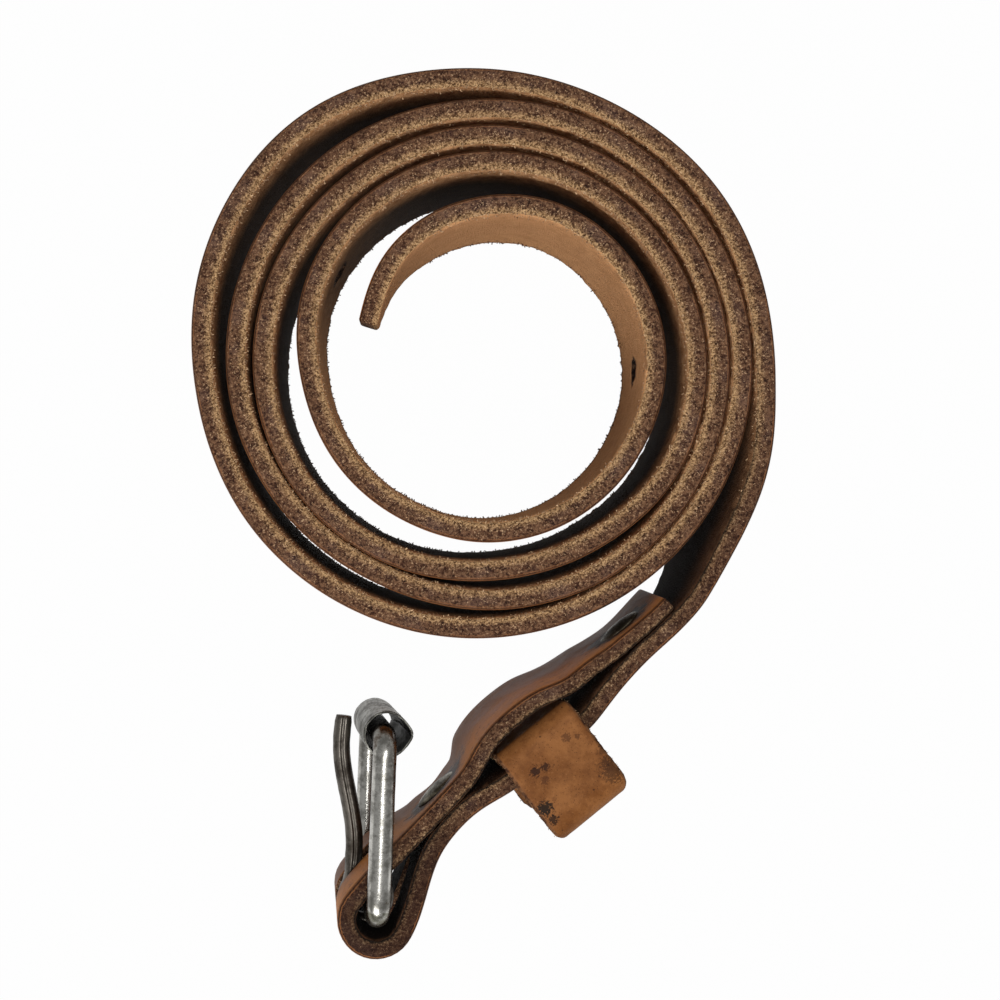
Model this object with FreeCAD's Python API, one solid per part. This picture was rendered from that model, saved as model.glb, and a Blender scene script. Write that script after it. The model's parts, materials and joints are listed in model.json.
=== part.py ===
# Training leash: a flat leather strap rolled up on its edge, with a roller buckle riveted to its
# outer end and a leather keeper loop between the two layers there.
# Millimetres, +Z up. The roll stands on its edge on the plane Z = 0.
import FreeCAD, Part
import math
import os
from FreeCAD import Placement, Rotation, Vector

# ---- Strap leather
STRAP_WIDTH = 25.4
STRAP_THICKNESS = 3.4
FOLD_THICKNESS = 3.0        # skived where the strap is lapped and goes round the buckle's bar
FOLD_SKIVE = 10.0           # length over which it thins to that
END_THICKNESS = 2.4         # skived end of the folded-back layer
END_SKIVE = 46.0            # length of that last skive
END_SLANT = 2.8             # its end is cut slanted, shorter by this at the upper edge
END_SLANT_REACH = 16.0      # length of that layer over which its upper edge draws back
TURN_GAP_MIN = 0.3          # air left between two turns that lie together

# ---- The roll, wound clockwise from its free inner end
ROLL_CENTRE = (-0.61, 22.72)
FREE_END_ANGLE = 155.0      # direction of the free end from the roll's centre, degrees
ROLL_STEP = 30.0            # degrees from one listed value to the next
# Grain-side radius of the first turn
FIRST_TURN = [22.8, 25.9, 28.6, 30.9, 31.5, 31.3, 30.3, 29.6, 28.9, 28.2, 28.6, 29.8]
# Air between each later turn and the turn inside it, one row for each turn
TURN_GAPS = [
    [6.4, 5.6, 4.5, 3.1, 2.9, 3.4, 3.9, 2.9, 2.9, 4.3, 4.9, 4.6],
    [2.7, 1.3, 1.0, 0.8, 0.9, 0.4, 0.5, 1.7, 1.6, 0.3, 0.3, 1.0],
    [1.3, 1.6, 1.0, 1.0, 0.3, 0.4, 0.3, 0.4, 1.2, 2.3, 2.4, 2.0],
    [3.5, 4.1, 2.0, 0.6, 0.9, 0.3, 1.7],
]
POINT_LENGTH = 21.0         # the free end tapers to a blunt point
POINT_TIP = 6.5
TONGUE_HOLE_DIAMETER = 4.0
TONGUE_HOLE_FIRST = 73.5    # from the free end
TONGUE_HOLE_SPACING = 53.7
TONGUE_HOLES = 3

# ---- The buckle end, which leans up out of the roll's plane.
# Its own frame has X along the strap from the buckle's bar toward the roll, Y toward the
# folded-back layer, and Z across the strap's width from its lower edge.
BAR_FROM_ROLL = (-18.95, -89.4)      # buckle's bar from the roll's centre, before leaning
END_DIRECTION = 42.0                # strap's direction there, from the bar toward the roll
LEAN = 6.5                          # degrees that the strap climbs toward the buckle
LEAN_FULL_AT = 84.0                 # distance from the bar beyond which the lean fades
LEAN_FADE = 30.0                    # length of strap over which it fades to nothing
# Middle of the main layer, from the roll to the fold
MAIN_LAYER = [(84.0, 5.5), (76.0, 2.8), (72.0, 1.75), (69.0, 1.4), (64.5, 1.3), (60.0, 1.4),
              (56.0, 1.25), (52.0, 0.85), (48.5, 0.3), (45.0, -0.15), (41.0, 0.07), (37.0, 0.4),
              (33.0, 0.73), (29.0, 1.1), (24.0, 2.25), (20.0, 2.65), (16.5, 2.4), (13.3, 1.7)]
# How far the lower edge lies to the grain side of the main layer, twisted by the rivets
LOWER_EDGE_SHIFT = [(4.0, 0.0), (8.0, 0.6), (14.0, 1.8), (19.0, 2.4), (23.5, 1.9), (28.2, 0.0),
                    (46.0, 0.0), (52.0, 0.6), (61.0, 1.4), (70.0, 1.0), (80.0, 0.0)]
FOLD_CENTRE = (-0.7, -0.2)          # middle of the fold from the buckle's bar
FOLD_PLAY = 1.4                     # between the fold's inside and the buckle's bar
BAR_SAG = (-0.6, 0.55)              # the buckle's bar lies to one side in the fold
FOLD_FLANK = 26.0                   # angle at which the main layer flares into the fold
SLOT_PLAY = 0.8                     # at each side of the tongue's eye, in the slot across the fold
SLOT_REACH = 8.5                    # the slot's reach along the strap from the bar

# ---- Buckle
WIRE_DIAMETER = 3.8
FRAME_SIDE_PLAY = 0.8               # between the strap's edge and the frame
BAR_SPACING = 28.0
FRAME_BEND_RADIUS = 3.2
BUCKLE_REST = 45.6                  # frame's direction from the strap's, degrees
BUCKLE_TILT = 1.8                   # the bar leans this much more than the strap, degrees,
BUCKLE_TILT_TOWARD = -27.0          # with its top in this direction from the strap's
ROLLER_WALL = 0.8
ROLLER_BORE_PLAY = 1.15
ROLLER_SAG = 0.5                    # the roller hangs to one side on its bar
ROLLER_END_PLAY = 0.2
ROLLER_SEAM = 0.35
TONGUE_DIAMETER = 2.9
TONGUE_EYE_WIDTH = 3.6
TONGUE_EYE_WALL = 1.9
TONGUE_EYE_PLAY = 0.9
TONGUE_EYE_SAG = 0.8                # the eye hangs to one side on the bar
# Middle of the tongue from the bar's middle: along the frame, and out of its plane
TONGUE_LINE = [(3.0, 3.5), (8.3, 3.1), (15.0, 4.1), (24.0, 5.95), (29.7, 5.75)]

# ---- Keeper: a leather strip bent to a loop, its thinned ends lapped between the layers
KEEPER_WIDTH = 14.8
KEEPER_THICKNESS = 2.0
KEEPER_LAP_THICKNESS = 2.7          # both ends together
KEEPER_AT = 37.0                    # middle of the keeper from the buckle's bar
KEEPER_REACH = 10.9                 # inside of the loop beyond the middle of the main layer
KEEPER_PLAY = 0.45                  # round the main layer, and at both faces of the lap
KEEPER_BEND = 2.6                   # outside radius of its bends beside the lap
KEEPER_FAR_BEND = 4.6               # and of its looser bends on the other side
STAPLE_WIRE = 0.9
STAPLE_SPAN = 9.0

# ---- Air between the main and the folded-back layer, at distances from the bar
GAPS_BEFORE_KEEPER = [(16.0, 0.3), (21.0, 0.3), (25.0, 1.6)]
GAPS_AFTER_KEEPER = [(48.0, 2.8), (51.5, 1.9), (55.0, 0.95), (58.0, 0.5), (62.0, 0.3), (71.5, 0.3)]
POCKET_SLACK = 1.3                  # more room at the middle of the keeper's lap than at its edges
POCKET_MARGIN = 1.3                 # length of full room beyond each edge of the keeper

# ---- Rivets
RIVET_POSITIONS = {"front_rivet": 19.5, "rear_rivet": 60.5}
RIVET_ACROSS = 16.0                 # from the strap's lower edge
RIVET_CAP_DIAMETER = 8.2
RIVET_CAP_RIM = 0.7
RIVET_CAP_DOME = 0.6
RIVET_SINK = 0.4                    # cap pressed into the leather
RIVET_POST_DIAMETER = 2.8

ROLL_STATION = 4.0                  # distance between worked-out points along the strap
END_STATION = 1.5
FOLD_POINTS = 9

FOLD_INNER_RADIUS = WIRE_DIAMETER / 2 + FOLD_PLAY
SLOT_WIDTH = TONGUE_EYE_WIDTH + 2 * SLOT_PLAY
ROLLER_DIAMETER = WIRE_DIAMETER + 2 * ROLLER_BORE_PLAY + 2 * ROLLER_WALL
UP = Vector(0, 0, 1)
MID = STRAP_WIDTH / 2
TURN_COUNT = len(FIRST_TURN)
END_HEADING = Vector(math.cos(math.radians(END_DIRECTION)), math.sin(math.radians(END_DIRECTION)), 0)
LEAN_AXIS = UP.cross(END_HEADING)


# ---------------------------------------------------------------- curves
def through(values, position):
    """Smooth curve through evenly spaced values."""
    index = max(0, min(len(values) - 2, int(math.floor(position))))
    here = values[index]
    there = values[index + 1]
    start_slope = (there - values[max(index - 1, 0)]) / 2
    end_slope = (values[min(index + 2, len(values) - 1)] - here) / 2
    part = position - index
    cubic = 2 * here - 2 * there + start_slope + end_slope
    square = 3 * there - 3 * here - 2 * start_slope - end_slope
    return ((cubic * part + square) * part + start_slope) * part + here


def spline(points):
    curve = Part.BSplineCurve()
    curve.interpolate(points)
    return curve


def left_of(direction):
    return UP.cross(direction)


def placed(shape, placement):
    copy = shape.copy()
    copy.Placement = placement.multiply(copy.Placement)
    return copy


# ---------------------------------------------------------------- the strap's route
BAR = Vector(ROLL_CENTRE[0] + BAR_FROM_ROLL[0], ROLL_CENTRE[1] + BAR_FROM_ROLL[1], 0)
END_TURN = Rotation(UP, END_DIRECTION)
END_TO_LAYOUT = Placement(BAR, END_TURN)
LAYER_END = GAPS_AFTER_KEEPER[-1][0]


def layer_gaps():
    """Air between the two layers, opened round the keeper's lap."""
    room = KEEPER_LAP_THICKNESS + 2 * KEEPER_PLAY
    edge = KEEPER_WIDTH / 2 + POCKET_MARGIN
    pocket = []
    for share in (-1.0, -0.5, 0.0, 0.5, 1.0):
        pocket.append((KEEPER_AT + share * edge, room + POCKET_SLACK * (1 - share * share)))
    return GAPS_BEFORE_KEEPER + pocket + GAPS_AFTER_KEEPER


LAYER_GAPS = layer_gaps()


def layer_thickness(left_over):
    """Thickness of the folded-back layer, by the length left to its end."""
    share = min(left_over / END_SKIVE, 1.0)
    return END_THICKNESS + (FOLD_THICKNESS - END_THICKNESS) * share


def roll_points():
    """Middle of the leather in the roll, from the free end out."""
    radii = list(FIRST_TURN)
    for row in TURN_GAPS:
        for gap in row:
            inside = radii[len(radii) - TURN_COUNT]
            radii.append(inside + STRAP_THICKNESS + max(gap, TURN_GAP_MIN))
    points = []
    parts = 3
    for count in range(parts * (len(radii) - 1) + 1):
        position = count / parts
        radius = through(radii, position) - STRAP_THICKNESS / 2
        angle = math.radians(FREE_END_ANGLE - ROLL_STEP * position)
        points.append(Vector(ROLL_CENTRE[0] + radius * math.cos(angle),
                             ROLL_CENTRE[1] + radius * math.sin(angle), 0))
    return points


MAIN_CURVE = spline([Vector(along, aside, 0) for along, aside in MAIN_LAYER])


def main_spot(along):
    """Middle of the main layer near a distance from the bar, and the direction to its flesh side."""
    at = MAIN_CURVE.parameter(Vector(along, 0, 0))
    flesh_side = MAIN_CURVE.tangent(at)[0].cross(UP)
    return MAIN_CURVE.value(at), flesh_side


def layer_offset(gap, left_over):
    return FOLD_THICKNESS / 2 + gap + layer_thickness(left_over) / 2


def fold_points():
    """Middle of the leather round the bar, as an arc that turns clockwise."""
    radius = FOLD_INNER_RADIUS + FOLD_THICKNESS / 2
    start = FOLD_FLANK - 90
    turn = -180 - FOLD_FLANK
    points = []
    for count in range(FOLD_POINTS):
        angle = math.radians(start + turn * count / (FOLD_POINTS - 1))
        points.append(Vector(FOLD_CENTRE[0] + radius * math.cos(angle),
                             FOLD_CENTRE[1] + radius * math.sin(angle), 0))
    return points


def folded_layer_points():
    points = []
    for along, gap in LAYER_GAPS:
        spot, flesh_side = main_spot(along)
        points.append(spot + flesh_side * layer_offset(gap, LAYER_END - along))
    return points


def route():
    """The whole strap's middle line in plan, before any lean."""
    end_points = [Vector(along, aside, 0) for along, aside in MAIN_LAYER]
    end_points += fold_points() + folded_layer_points()
    return spline(roll_points() + [END_TO_LAYOUT.multVec(point) for point in end_points])


ROUTE = route()
ROUTE_LENGTH = ROUTE.length()


def distance_to(point):
    """Length of strap from the free end to the point nearest to one in the buckle end's frame."""
    return ROUTE.length(0, ROUTE.parameter(END_TO_LAYOUT.multVec(point)))


LEAN_END = distance_to(main_spot(LEAN_FULL_AT)[0])
LEAN_START = LEAN_END - LEAN_FADE


def thickness_at(distance):
    skived = min(max((distance - LEAN_END) / FOLD_SKIVE, 0.0), 1.0)
    full = STRAP_THICKNESS + (FOLD_THICKNESS - STRAP_THICKNESS) * skived
    return min(full, layer_thickness(ROUTE_LENGTH - distance)) if skived >= 1 else full


def stations(start, end, step, slant=0.0):
    """Places along the route: centre, direction to the grain side, half thickness.

    They are evenly spaced, but the last ones are drawn back by up to the slant.
    """
    count = max(2, int(round((end - start) / step)))
    found = []
    for number in range(count + 1):
        distance = start + (end - start) * number / count
        share = max(0.0, 1 - (end - distance) / END_SLANT_REACH)
        distance -= slant * share * share
        at = ROUTE.parameterAtDistance(distance, 0)
        found.append((ROUTE.value(at), left_of(ROUTE.tangent(at)[0]), thickness_at(distance) / 2))
    return found


# ---------------------------------------------------------------- the strap's solids
def faces(places):
    """The grain side and the flesh side of a stretch of strap in plan, as points."""
    grain = [centre + side * half for centre, side, half in places]
    flesh = [centre - side * half for centre, side, half in places]
    return grain, flesh


def outline_wire(grain, flesh):
    edges = [
        spline(grain).toShape(),
        Part.makeLine(grain[-1], flesh[-1]),
        spline(list(reversed(flesh))).toShape(),
        Part.makeLine(flesh[0], grain[0]),
    ]
    return Part.Wire(edges)


def upright(places):
    """A stretch of strap whose lower edge lies straight below its upper edge."""
    return Part.Face(outline_wire(*faces(places))).extrude(UP * STRAP_WIDTH)


def edge_shift(point):
    """How far the lower edge is moved at a point of the layout."""
    along = (point - BAR).dot(END_HEADING)
    sideways = 0.0
    for (near, shift), (far, far_shift) in zip(LOWER_EDGE_SHIFT, LOWER_EDGE_SHIFT[1:]):
        if near < along <= far:
            share = (along - near) / (far - near)
            share = share * share * (3 - 2 * share)
            sideways = shift + (far_shift - shift) * share
    return UP.cross(END_HEADING) * -sideways


def twisted(low_places, top_places):
    """A stretch of strap whose lower edge is shifted sideways."""
    low = [[point + edge_shift(point) for point in side] for side in faces(low_places)]
    top = [[point + UP * STRAP_WIDTH for point in side] for side in faces(top_places)]
    return Part.makeLoft([outline_wire(*low), outline_wire(*top)], True, True)


def lean_stations():
    """Placements of the strap's cross-sections where it starts to climb."""
    places = stations(LEAN_START, LEAN_END, ROLL_STATION / 2)
    found = []
    height = 0.0
    last = places[0][0]
    for number, (centre, side, half) in enumerate(places):
        share = number / (len(places) - 1)
        angle = LEAN * share * share * (3 - 2 * share)
        height -= math.tan(math.radians(angle)) * (centre - last).dot(END_HEADING)
        last = centre
        base = Vector(centre.x, centre.y, height)
        found.append((Placement(base, Rotation(LEAN_AXIS, angle)), side, half))
    return found


def section(placement, side, half):
    corners = []
    for along, up in ((half, 0), (-half, 0), (-half, STRAP_WIDTH), (half, STRAP_WIDTH)):
        corners.append(placement.multVec(side * along + UP * up))
    return Part.makePolygon(corners + corners[:1])


LEAN_STATIONS = lean_stations()
LEAN_PLACE = LEAN_STATIONS[-1][0]
LEAN_PIVOT = ROUTE.value(ROUTE.parameterAtDistance(LEAN_END, 0))
# From the flat layout, and from the buckle end's own frame, to where things lie
LAYOUT_PLACE = LEAN_PLACE.multiply(Placement(LEAN_PIVOT * -1, Rotation()))
END_PLACE = LAYOUT_PLACE.multiply(END_TO_LAYOUT)
TILT_HEADING = Rotation(UP, BUCKLE_TILT_TOWARD).multVec(Vector(1, 0, 0))
BUCKLE_TURN = Rotation(UP.cross(TILT_HEADING), BUCKLE_TILT).multiply(Rotation(UP, BUCKLE_REST))
BUCKLE_PLACE = END_PLACE.multiply(Placement(Vector(BAR_SAG[0], BAR_SAG[1], MID), BUCKLE_TURN))


def tongue_slot():
    """Slot across the fold, with round ends on both layers."""
    reach = SLOT_REACH - SLOT_WIDTH / 2
    far = 3 * FOLD_INNER_RADIUS + 3 * FOLD_THICKNESS
    box = Part.makeBox(far + reach, 2 * far, SLOT_WIDTH, Vector(-far, -far, MID - SLOT_WIDTH / 2))
    end = Part.makeCylinder(SLOT_WIDTH / 2, 2 * far, Vector(reach, -far, MID), Vector(0, 1, 0))
    return box.fuse(end)


def point_trim():
    """What is cut away above and below the free end's point."""
    tip = ROUTE.value(0)
    along = ROUTE.value(ROUTE.parameterAtDistance(POINT_LENGTH, 0)) - tip
    length = along.Length
    block = Part.makeBox(length + STRAP_THICKNESS, 4 * STRAP_THICKNESS, STRAP_WIDTH,
                         Vector(-STRAP_THICKNESS, -2 * STRAP_THICKNESS, 0))
    edges = []
    for side in (1, -1):
        low = Vector(0, 0, MID - side * POINT_TIP / 2)
        high = Vector(length, 0, MID - side * MID)
        swell = Vector(length * 0.42, 0, MID - side * (POINT_TIP / 2 + (MID - POINT_TIP / 2) * 0.66))
        edges.append(Part.Arc(low, swell, high).toShape())
    edges.append(Part.makeLine(edges[0].Vertexes[0].Point, edges[1].Vertexes[0].Point))
    far = [Vector(2 * length, 0, 0), Vector(2 * length, 0, STRAP_WIDTH)]
    start = edges[0].Vertexes[1].Point
    end = edges[1].Vertexes[1].Point
    for one, other in ((start, far[0]), (far[0], far[1]), (far[1], end)):
        edges.append(Part.makeLine(one, other))
    kept = Part.Face(Part.Wire(Part.__sortEdges__(edges)))
    kept.translate(Vector(0, -3 * STRAP_THICKNESS, 0))
    trim = block.cut(kept.extrude(Vector(0, 6 * STRAP_THICKNESS, 0)))
    return placed(trim, Placement(tip, Rotation(UP, math.degrees(math.atan2(along.y, along.x)))))


def tongue_hole(number):
    at = ROUTE.parameterAtDistance(TONGUE_HOLE_FIRST + TONGUE_HOLE_SPACING * number, 0)
    across = left_of(ROUTE.tangent(at)[0])
    start = ROUTE.value(at) - across * STRAP_THICKNESS * 0.6 + UP * MID
    return Part.makeCylinder(TONGUE_HOLE_DIAMETER / 2, STRAP_THICKNESS * 1.2, start, across)


def make_strap(rivets):
    roll = upright(stations(0, LEAN_START, ROLL_STATION))
    roll = roll.cut([tongue_hole(number) for number in range(TONGUE_HOLES)] + [point_trim()])
    climb = Part.makeLoft([section(*place) for place in LEAN_STATIONS], True, False)
    end = twisted(stations(LEAN_END, ROUTE_LENGTH, END_STATION),
                  stations(LEAN_END, ROUTE_LENGTH, END_STATION, END_SLANT))
    end = end.cut(placed(tongue_slot(), END_TO_LAYOUT))
    end = placed(end, LAYOUT_PLACE).cut(rivets)
    return roll.fuse([climb, end])


# ---------------------------------------------------------------- buckle, about its pivot bar
# X points from the pivot bar to the roller, Z along the bars
FRAME_INNER = STRAP_WIDTH + 2 * FRAME_SIDE_PLAY
FRAME_HALF = (FRAME_INNER + WIRE_DIAMETER) / 2
BAR_STRAIGHT = FRAME_HALF - FRAME_BEND_RADIUS


def make_frame():
    wire = WIRE_DIAMETER / 2
    pieces = []
    for bar, turn in ((0.0, 90), (BAR_SPACING, -90)):
        pieces.append(Part.makeCylinder(wire, 2 * BAR_STRAIGHT, Vector(bar, 0, -BAR_STRAIGHT)))
        bend = bar + FRAME_BEND_RADIUS * (1 if turn > 0 else -1)
        for side in (-1, 1):
            circle = Part.makeCircle(wire, Vector(bar, 0, side * BAR_STRAIGHT), UP)
            disk = Part.Face(Part.Wire(circle))
            centre = Vector(bend, 0, side * BAR_STRAIGHT)
            pieces.append(disk.revolve(centre, Vector(0, 1, 0), turn * side))
    length = BAR_SPACING - 2 * FRAME_BEND_RADIUS
    for side in (-1, 1):
        start = Vector(FRAME_BEND_RADIUS, 0, side * FRAME_HALF)
        pieces.append(Part.makeCylinder(wire, length, start, Vector(1, 0, 0)))
    return pieces[0].fuse(pieces[1:]).removeSplitter()


def make_roller():
    length = 2 * (BAR_STRAIGHT - ROLLER_END_PLAY)
    start = Vector(BAR_SPACING, -ROLLER_SAG, -length / 2)
    radius = ROLLER_DIAMETER / 2
    tube = Part.makeCylinder(radius, length, start)
    tube = tube.cut(Part.makeCylinder(radius - ROLLER_WALL, length, start))
    seam_corner = start + Vector(-ROLLER_SEAM / 2, -2 * radius, 0)
    return tube.cut(Part.makeBox(ROLLER_SEAM, 2 * radius, length, seam_corner))


def make_tongue():
    wire = TONGUE_DIAMETER / 2
    hole = WIRE_DIAMETER / 2 + TONGUE_EYE_PLAY
    start = Vector(0, TONGUE_EYE_SAG, -TONGUE_EYE_WIDTH / 2)
    eye = Part.makeCylinder(hole + TONGUE_EYE_WALL, TONGUE_EYE_WIDTH, start)
    bends = [Vector(along, aside, 0) for along, aside in TONGUE_LINE]
    pieces = [Part.makeSphere(wire, bend) for bend in bends[1:]]
    for bend, following in zip(bends, bends[1:]):
        way = following - bend
        pieces.append(Part.makeCylinder(wire, way.Length, bend, way))
    return eye.fuse(pieces).cut(Part.makeCylinder(hole, TONGUE_EYE_WIDTH, start))


# ---------------------------------------------------------------- keeper
# X along the main layer from the bar, Y toward its flesh side, Z across it
KEEPER_SPOT, KEEPER_SIDE = main_spot(KEEPER_AT)
KEEPER_TURN = math.degrees(math.atan2(KEEPER_SIDE.y, KEEPER_SIDE.x)) - 90
KEEPER_PLACE = END_PLACE.multiply(Placement(KEEPER_SPOT, Rotation(UP, KEEPER_TURN)))
LAP_INSIDE = FOLD_THICKNESS / 2 + KEEPER_PLAY
LAP_OUTSIDE = LAP_INSIDE + KEEPER_LAP_THICKNESS


def rounded_plate(low, high, far_radius, near_radius):
    """Plate in the Y-Z plane with rounded corners, as wide as the keeper."""
    start = Vector(-KEEPER_WIDTH / 2, low[0], low[1])
    box = Part.makeBox(KEEPER_WIDTH, high[0] - low[0], high[1] - low[1], start)
    corners = [edge for edge in box.Edges if abs(edge.tangentAt(0).x) > 0.9]
    middle = (low[0] + high[0]) / 2
    far = [edge for edge in corners if edge.valueAt(0).y < middle]
    rounded = box.makeFillet(far_radius, far)
    near = [edge for edge in rounded.Edges
            if abs(edge.tangentAt(0).x) > 0.9 and abs(edge.valueAt(0).y - high[0]) < 0.001]
    return rounded.makeFillet(near_radius, near)


def make_keeper(staple):
    bottom = -KEEPER_PLAY
    top = STRAP_WIDTH + KEEPER_PLAY
    wall = KEEPER_THICKNESS
    outside = rounded_plate((-KEEPER_REACH - wall, bottom - wall), (LAP_OUTSIDE, top + wall),
                            KEEPER_FAR_BEND, KEEPER_BEND)
    inside = rounded_plate((-KEEPER_REACH, bottom), (LAP_INSIDE, top),
                           KEEPER_FAR_BEND - wall, KEEPER_BEND - wall)
    return outside.cut([inside, staple])


def make_staple():
    """Flat U of wire through the lap, its crown and its turned ends flush with the leather."""
    wire = STAPLE_WIRE / 2
    low = MID - STAPLE_SPAN / 2
    crown = Part.makeCylinder(wire, STAPLE_SPAN, Vector(0, LAP_OUTSIDE - wire, low))
    pieces = []
    for side in (-1, 1):
        height = MID + side * STAPLE_SPAN / 2
        length = KEEPER_LAP_THICKNESS - 2 * wire
        pieces.append(Part.makeCylinder(wire, length, Vector(0, LAP_INSIDE + wire, height), Vector(0, 1, 0)))
        turned = Vector(0, LAP_INSIDE + wire, height)
        pieces.append(Part.makeCylinder(wire, STAPLE_SPAN / 3, turned, Vector(0, 0, -side)))
        pieces.append(Part.makeSphere(wire, turned))
        pieces.append(Part.makeSphere(wire, Vector(0, LAP_OUTSIDE - wire, height)))
    return crown.fuse(pieces)


# ---------------------------------------------------------------- rivets, Z through the leather
def gap_at(along):
    """Air between the two layers at a distance from the bar."""
    for (near, air), (far, far_air) in zip(LAYER_GAPS, LAYER_GAPS[1:]):
        if near <= along <= far:
            gap = air + (far_air - air) * (along - near) / (far - near)
    return gap


def rivet_place(along):
    """Where the grain-side cap sits on the main layer, with Z toward the folded-back layer."""
    spot, flesh_side = main_spot(along)
    shift = edge_shift(END_TO_LAYOUT.multVec(spot)).Length
    lean = math.degrees(math.atan2(shift, STRAP_WIDTH))
    spot = spot - Vector(0, 1, 0) * shift * (1 - RIVET_ACROSS / STRAP_WIDTH)
    way = Rotation(UP.cross(flesh_side), lean).multVec(flesh_side)
    start = spot - way * (FOLD_THICKNESS / 2 - RIVET_SINK) + UP * RIVET_ACROSS
    return END_PLACE.multiply(Placement(start, Rotation(UP, way)))


def rivet_grip(along):
    leather = FOLD_THICKNESS + layer_thickness(LAYER_END - along)
    return leather + gap_at(along) - 2 * RIVET_SINK


def cap():
    """Domed cap with its flat face at Z = 0."""
    radius = RIVET_CAP_DIAMETER / 2
    height = RIVET_CAP_RIM + RIVET_CAP_DOME
    dome = (radius * radius + RIVET_CAP_DOME * RIVET_CAP_DOME) / (2 * RIVET_CAP_DOME)
    ball = Part.makeSphere(dome, Vector(0, 0, height - dome))
    return Part.makeCylinder(radius, height).common(ball)


def make_rivet(along):
    grip = rivet_grip(along)
    post = Part.makeCylinder(RIVET_POST_DIAMETER / 2, grip + RIVET_CAP_RIM / 2)
    turned = Placement(Vector(0, 0, 0), Rotation(Vector(1, 0, 0), 180))
    head = placed(cap(), turned).fuse(post)
    top = placed(cap(), Placement(UP * grip, Rotation())).cut(post)
    place = rivet_place(along)
    return placed(head, place), placed(top, place)


# ---------------------------------------------------------------- the pieces
def main():
    pieces = {}
    for name, along in RIVET_POSITIONS.items():
        head, top = make_rivet(along)
        pieces[name + "_post"] = head
        pieces[name + "_cap"] = top
    strap = make_strap(list(pieces.values()))
    staple = make_staple()
    pieces["strap"] = strap
    pieces["buckle_frame"] = placed(make_frame(), BUCKLE_PLACE)
    pieces["buckle_roller"] = placed(make_roller(), BUCKLE_PLACE)
    pieces["buckle_tongue"] = placed(make_tongue(), BUCKLE_PLACE)
    pieces["keeper"] = placed(make_keeper(staple), KEEPER_PLACE)
    pieces["keeper_staple"] = placed(staple, KEEPER_PLACE)
    os.makedirs("parts", exist_ok=True)
    for name, shape in pieces.items():
        shape.exportStep("parts/" + name + ".step")
        box = shape.BoundBox
        print(name, len(shape.Solids), "solid", round(shape.Volume, 1), "mm3",
              [round(value, 2) for value in (box.XMin, box.XMax, box.YMin, box.YMax, box.ZMin, box.ZMax)])
    print("strap length", round(ROUTE_LENGTH, 1))


main()
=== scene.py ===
# %% [markdown]
# # A leather training leash, rolled up
# The object is a flat strap of thick harness leather, about 25 mm wide, wound up and stood on its
# cut edge. A roller buckle is folded and riveted into its outer end, and a leather keeper loop is
# held between the two layers there. The solids of all this already exist as a packed model. This
# lesson dresses them: worn leather, loose fibres, thin pressed steel and tarnished nickel.

# %% Load the frame
import json
import math
from types import SimpleNamespace

import bmesh
import bpy
import numpy as np
from mathutils import Matrix, Vector, noise


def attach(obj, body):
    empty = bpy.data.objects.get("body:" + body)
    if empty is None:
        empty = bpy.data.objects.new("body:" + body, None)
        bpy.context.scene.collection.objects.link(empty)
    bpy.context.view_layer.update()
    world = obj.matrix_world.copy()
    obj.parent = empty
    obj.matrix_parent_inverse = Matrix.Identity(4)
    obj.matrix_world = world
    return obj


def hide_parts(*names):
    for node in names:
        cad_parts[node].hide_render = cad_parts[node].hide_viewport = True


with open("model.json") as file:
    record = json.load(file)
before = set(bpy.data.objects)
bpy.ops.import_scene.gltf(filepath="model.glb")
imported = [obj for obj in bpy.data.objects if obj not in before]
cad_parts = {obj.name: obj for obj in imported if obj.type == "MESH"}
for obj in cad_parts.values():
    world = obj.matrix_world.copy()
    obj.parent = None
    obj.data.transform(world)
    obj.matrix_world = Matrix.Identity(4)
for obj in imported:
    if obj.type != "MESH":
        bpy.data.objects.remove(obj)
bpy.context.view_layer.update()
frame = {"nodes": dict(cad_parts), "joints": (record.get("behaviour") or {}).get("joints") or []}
MM = 0.001

# %% [markdown]
# ## Writing node trees as sums
# A finish is a small program. Drawing it as nodes is slow to read, so one class wraps a node's
# output and lets plain Python operators add the Math nodes. A second class adds any other node by
# its type, its settings and what goes into its sockets. The same two serve both materials and
# Geometry Nodes, because both are node trees.

# %% A socket that can be added and multiplied
class Value:
    """One output of a node. Adding, taking away, multiplying and dividing add a Math node."""

    def __init__(self, tree, socket):
        self.tree = tree
        self.socket = socket

    def math(self, operation, *terms):
        return self.tree.add("ShaderNodeMath", {"operation": operation}, dict(enumerate(terms)))

    def __add__(self, other):
        return self.math("ADD", self, other)

    def __radd__(self, other):
        return self.math("ADD", other, self)

    def __sub__(self, other):
        return self.math("SUBTRACT", self, other)

    def __rsub__(self, other):
        return self.math("SUBTRACT", other, self)

    def __mul__(self, other):
        return self.math("MULTIPLY", self, other)

    def __truediv__(self, other):
        return self.math("DIVIDE", self, other)

    def __abs__(self):
        return self.math("ABSOLUTE", self)


class Tree:
    """A node tree, built by calls that each add one node and return its output."""

    def __init__(self, nodes):
        self.nodes = nodes

    def add(self, kind, settings=None, sockets=None, out=0):
        node = self.nodes.nodes.new(kind)
        for name, setting in (settings or {}).items():
            setattr(node, name, setting)
        for name, value in (sockets or {}).items():
            if isinstance(value, Value):
                self.nodes.links.new(value.socket, node.inputs[name])
            else:
                node.inputs[name].default_value = value
        return Value(self, node.outputs[out])

    def ease(self, value, low, high):
        """0 below low, 1 above high, and a soft step between. low may be the larger."""
        sockets = {"Value": value, "From Min": low, "From Max": high}
        return self.add("ShaderNodeMapRange", {"interpolation_type": "SMOOTHSTEP"}, sockets)


print("a Value knows:", [name for name, made in vars(Value).items() if callable(made)])

# %% [markdown]
# ## A finish
# Colours are written as they look on a screen, 0 to 255, and turned into the linear light that the
# renderer adds up. Each finish below mixes a few such tones by masks, and ends in one shader.

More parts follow.
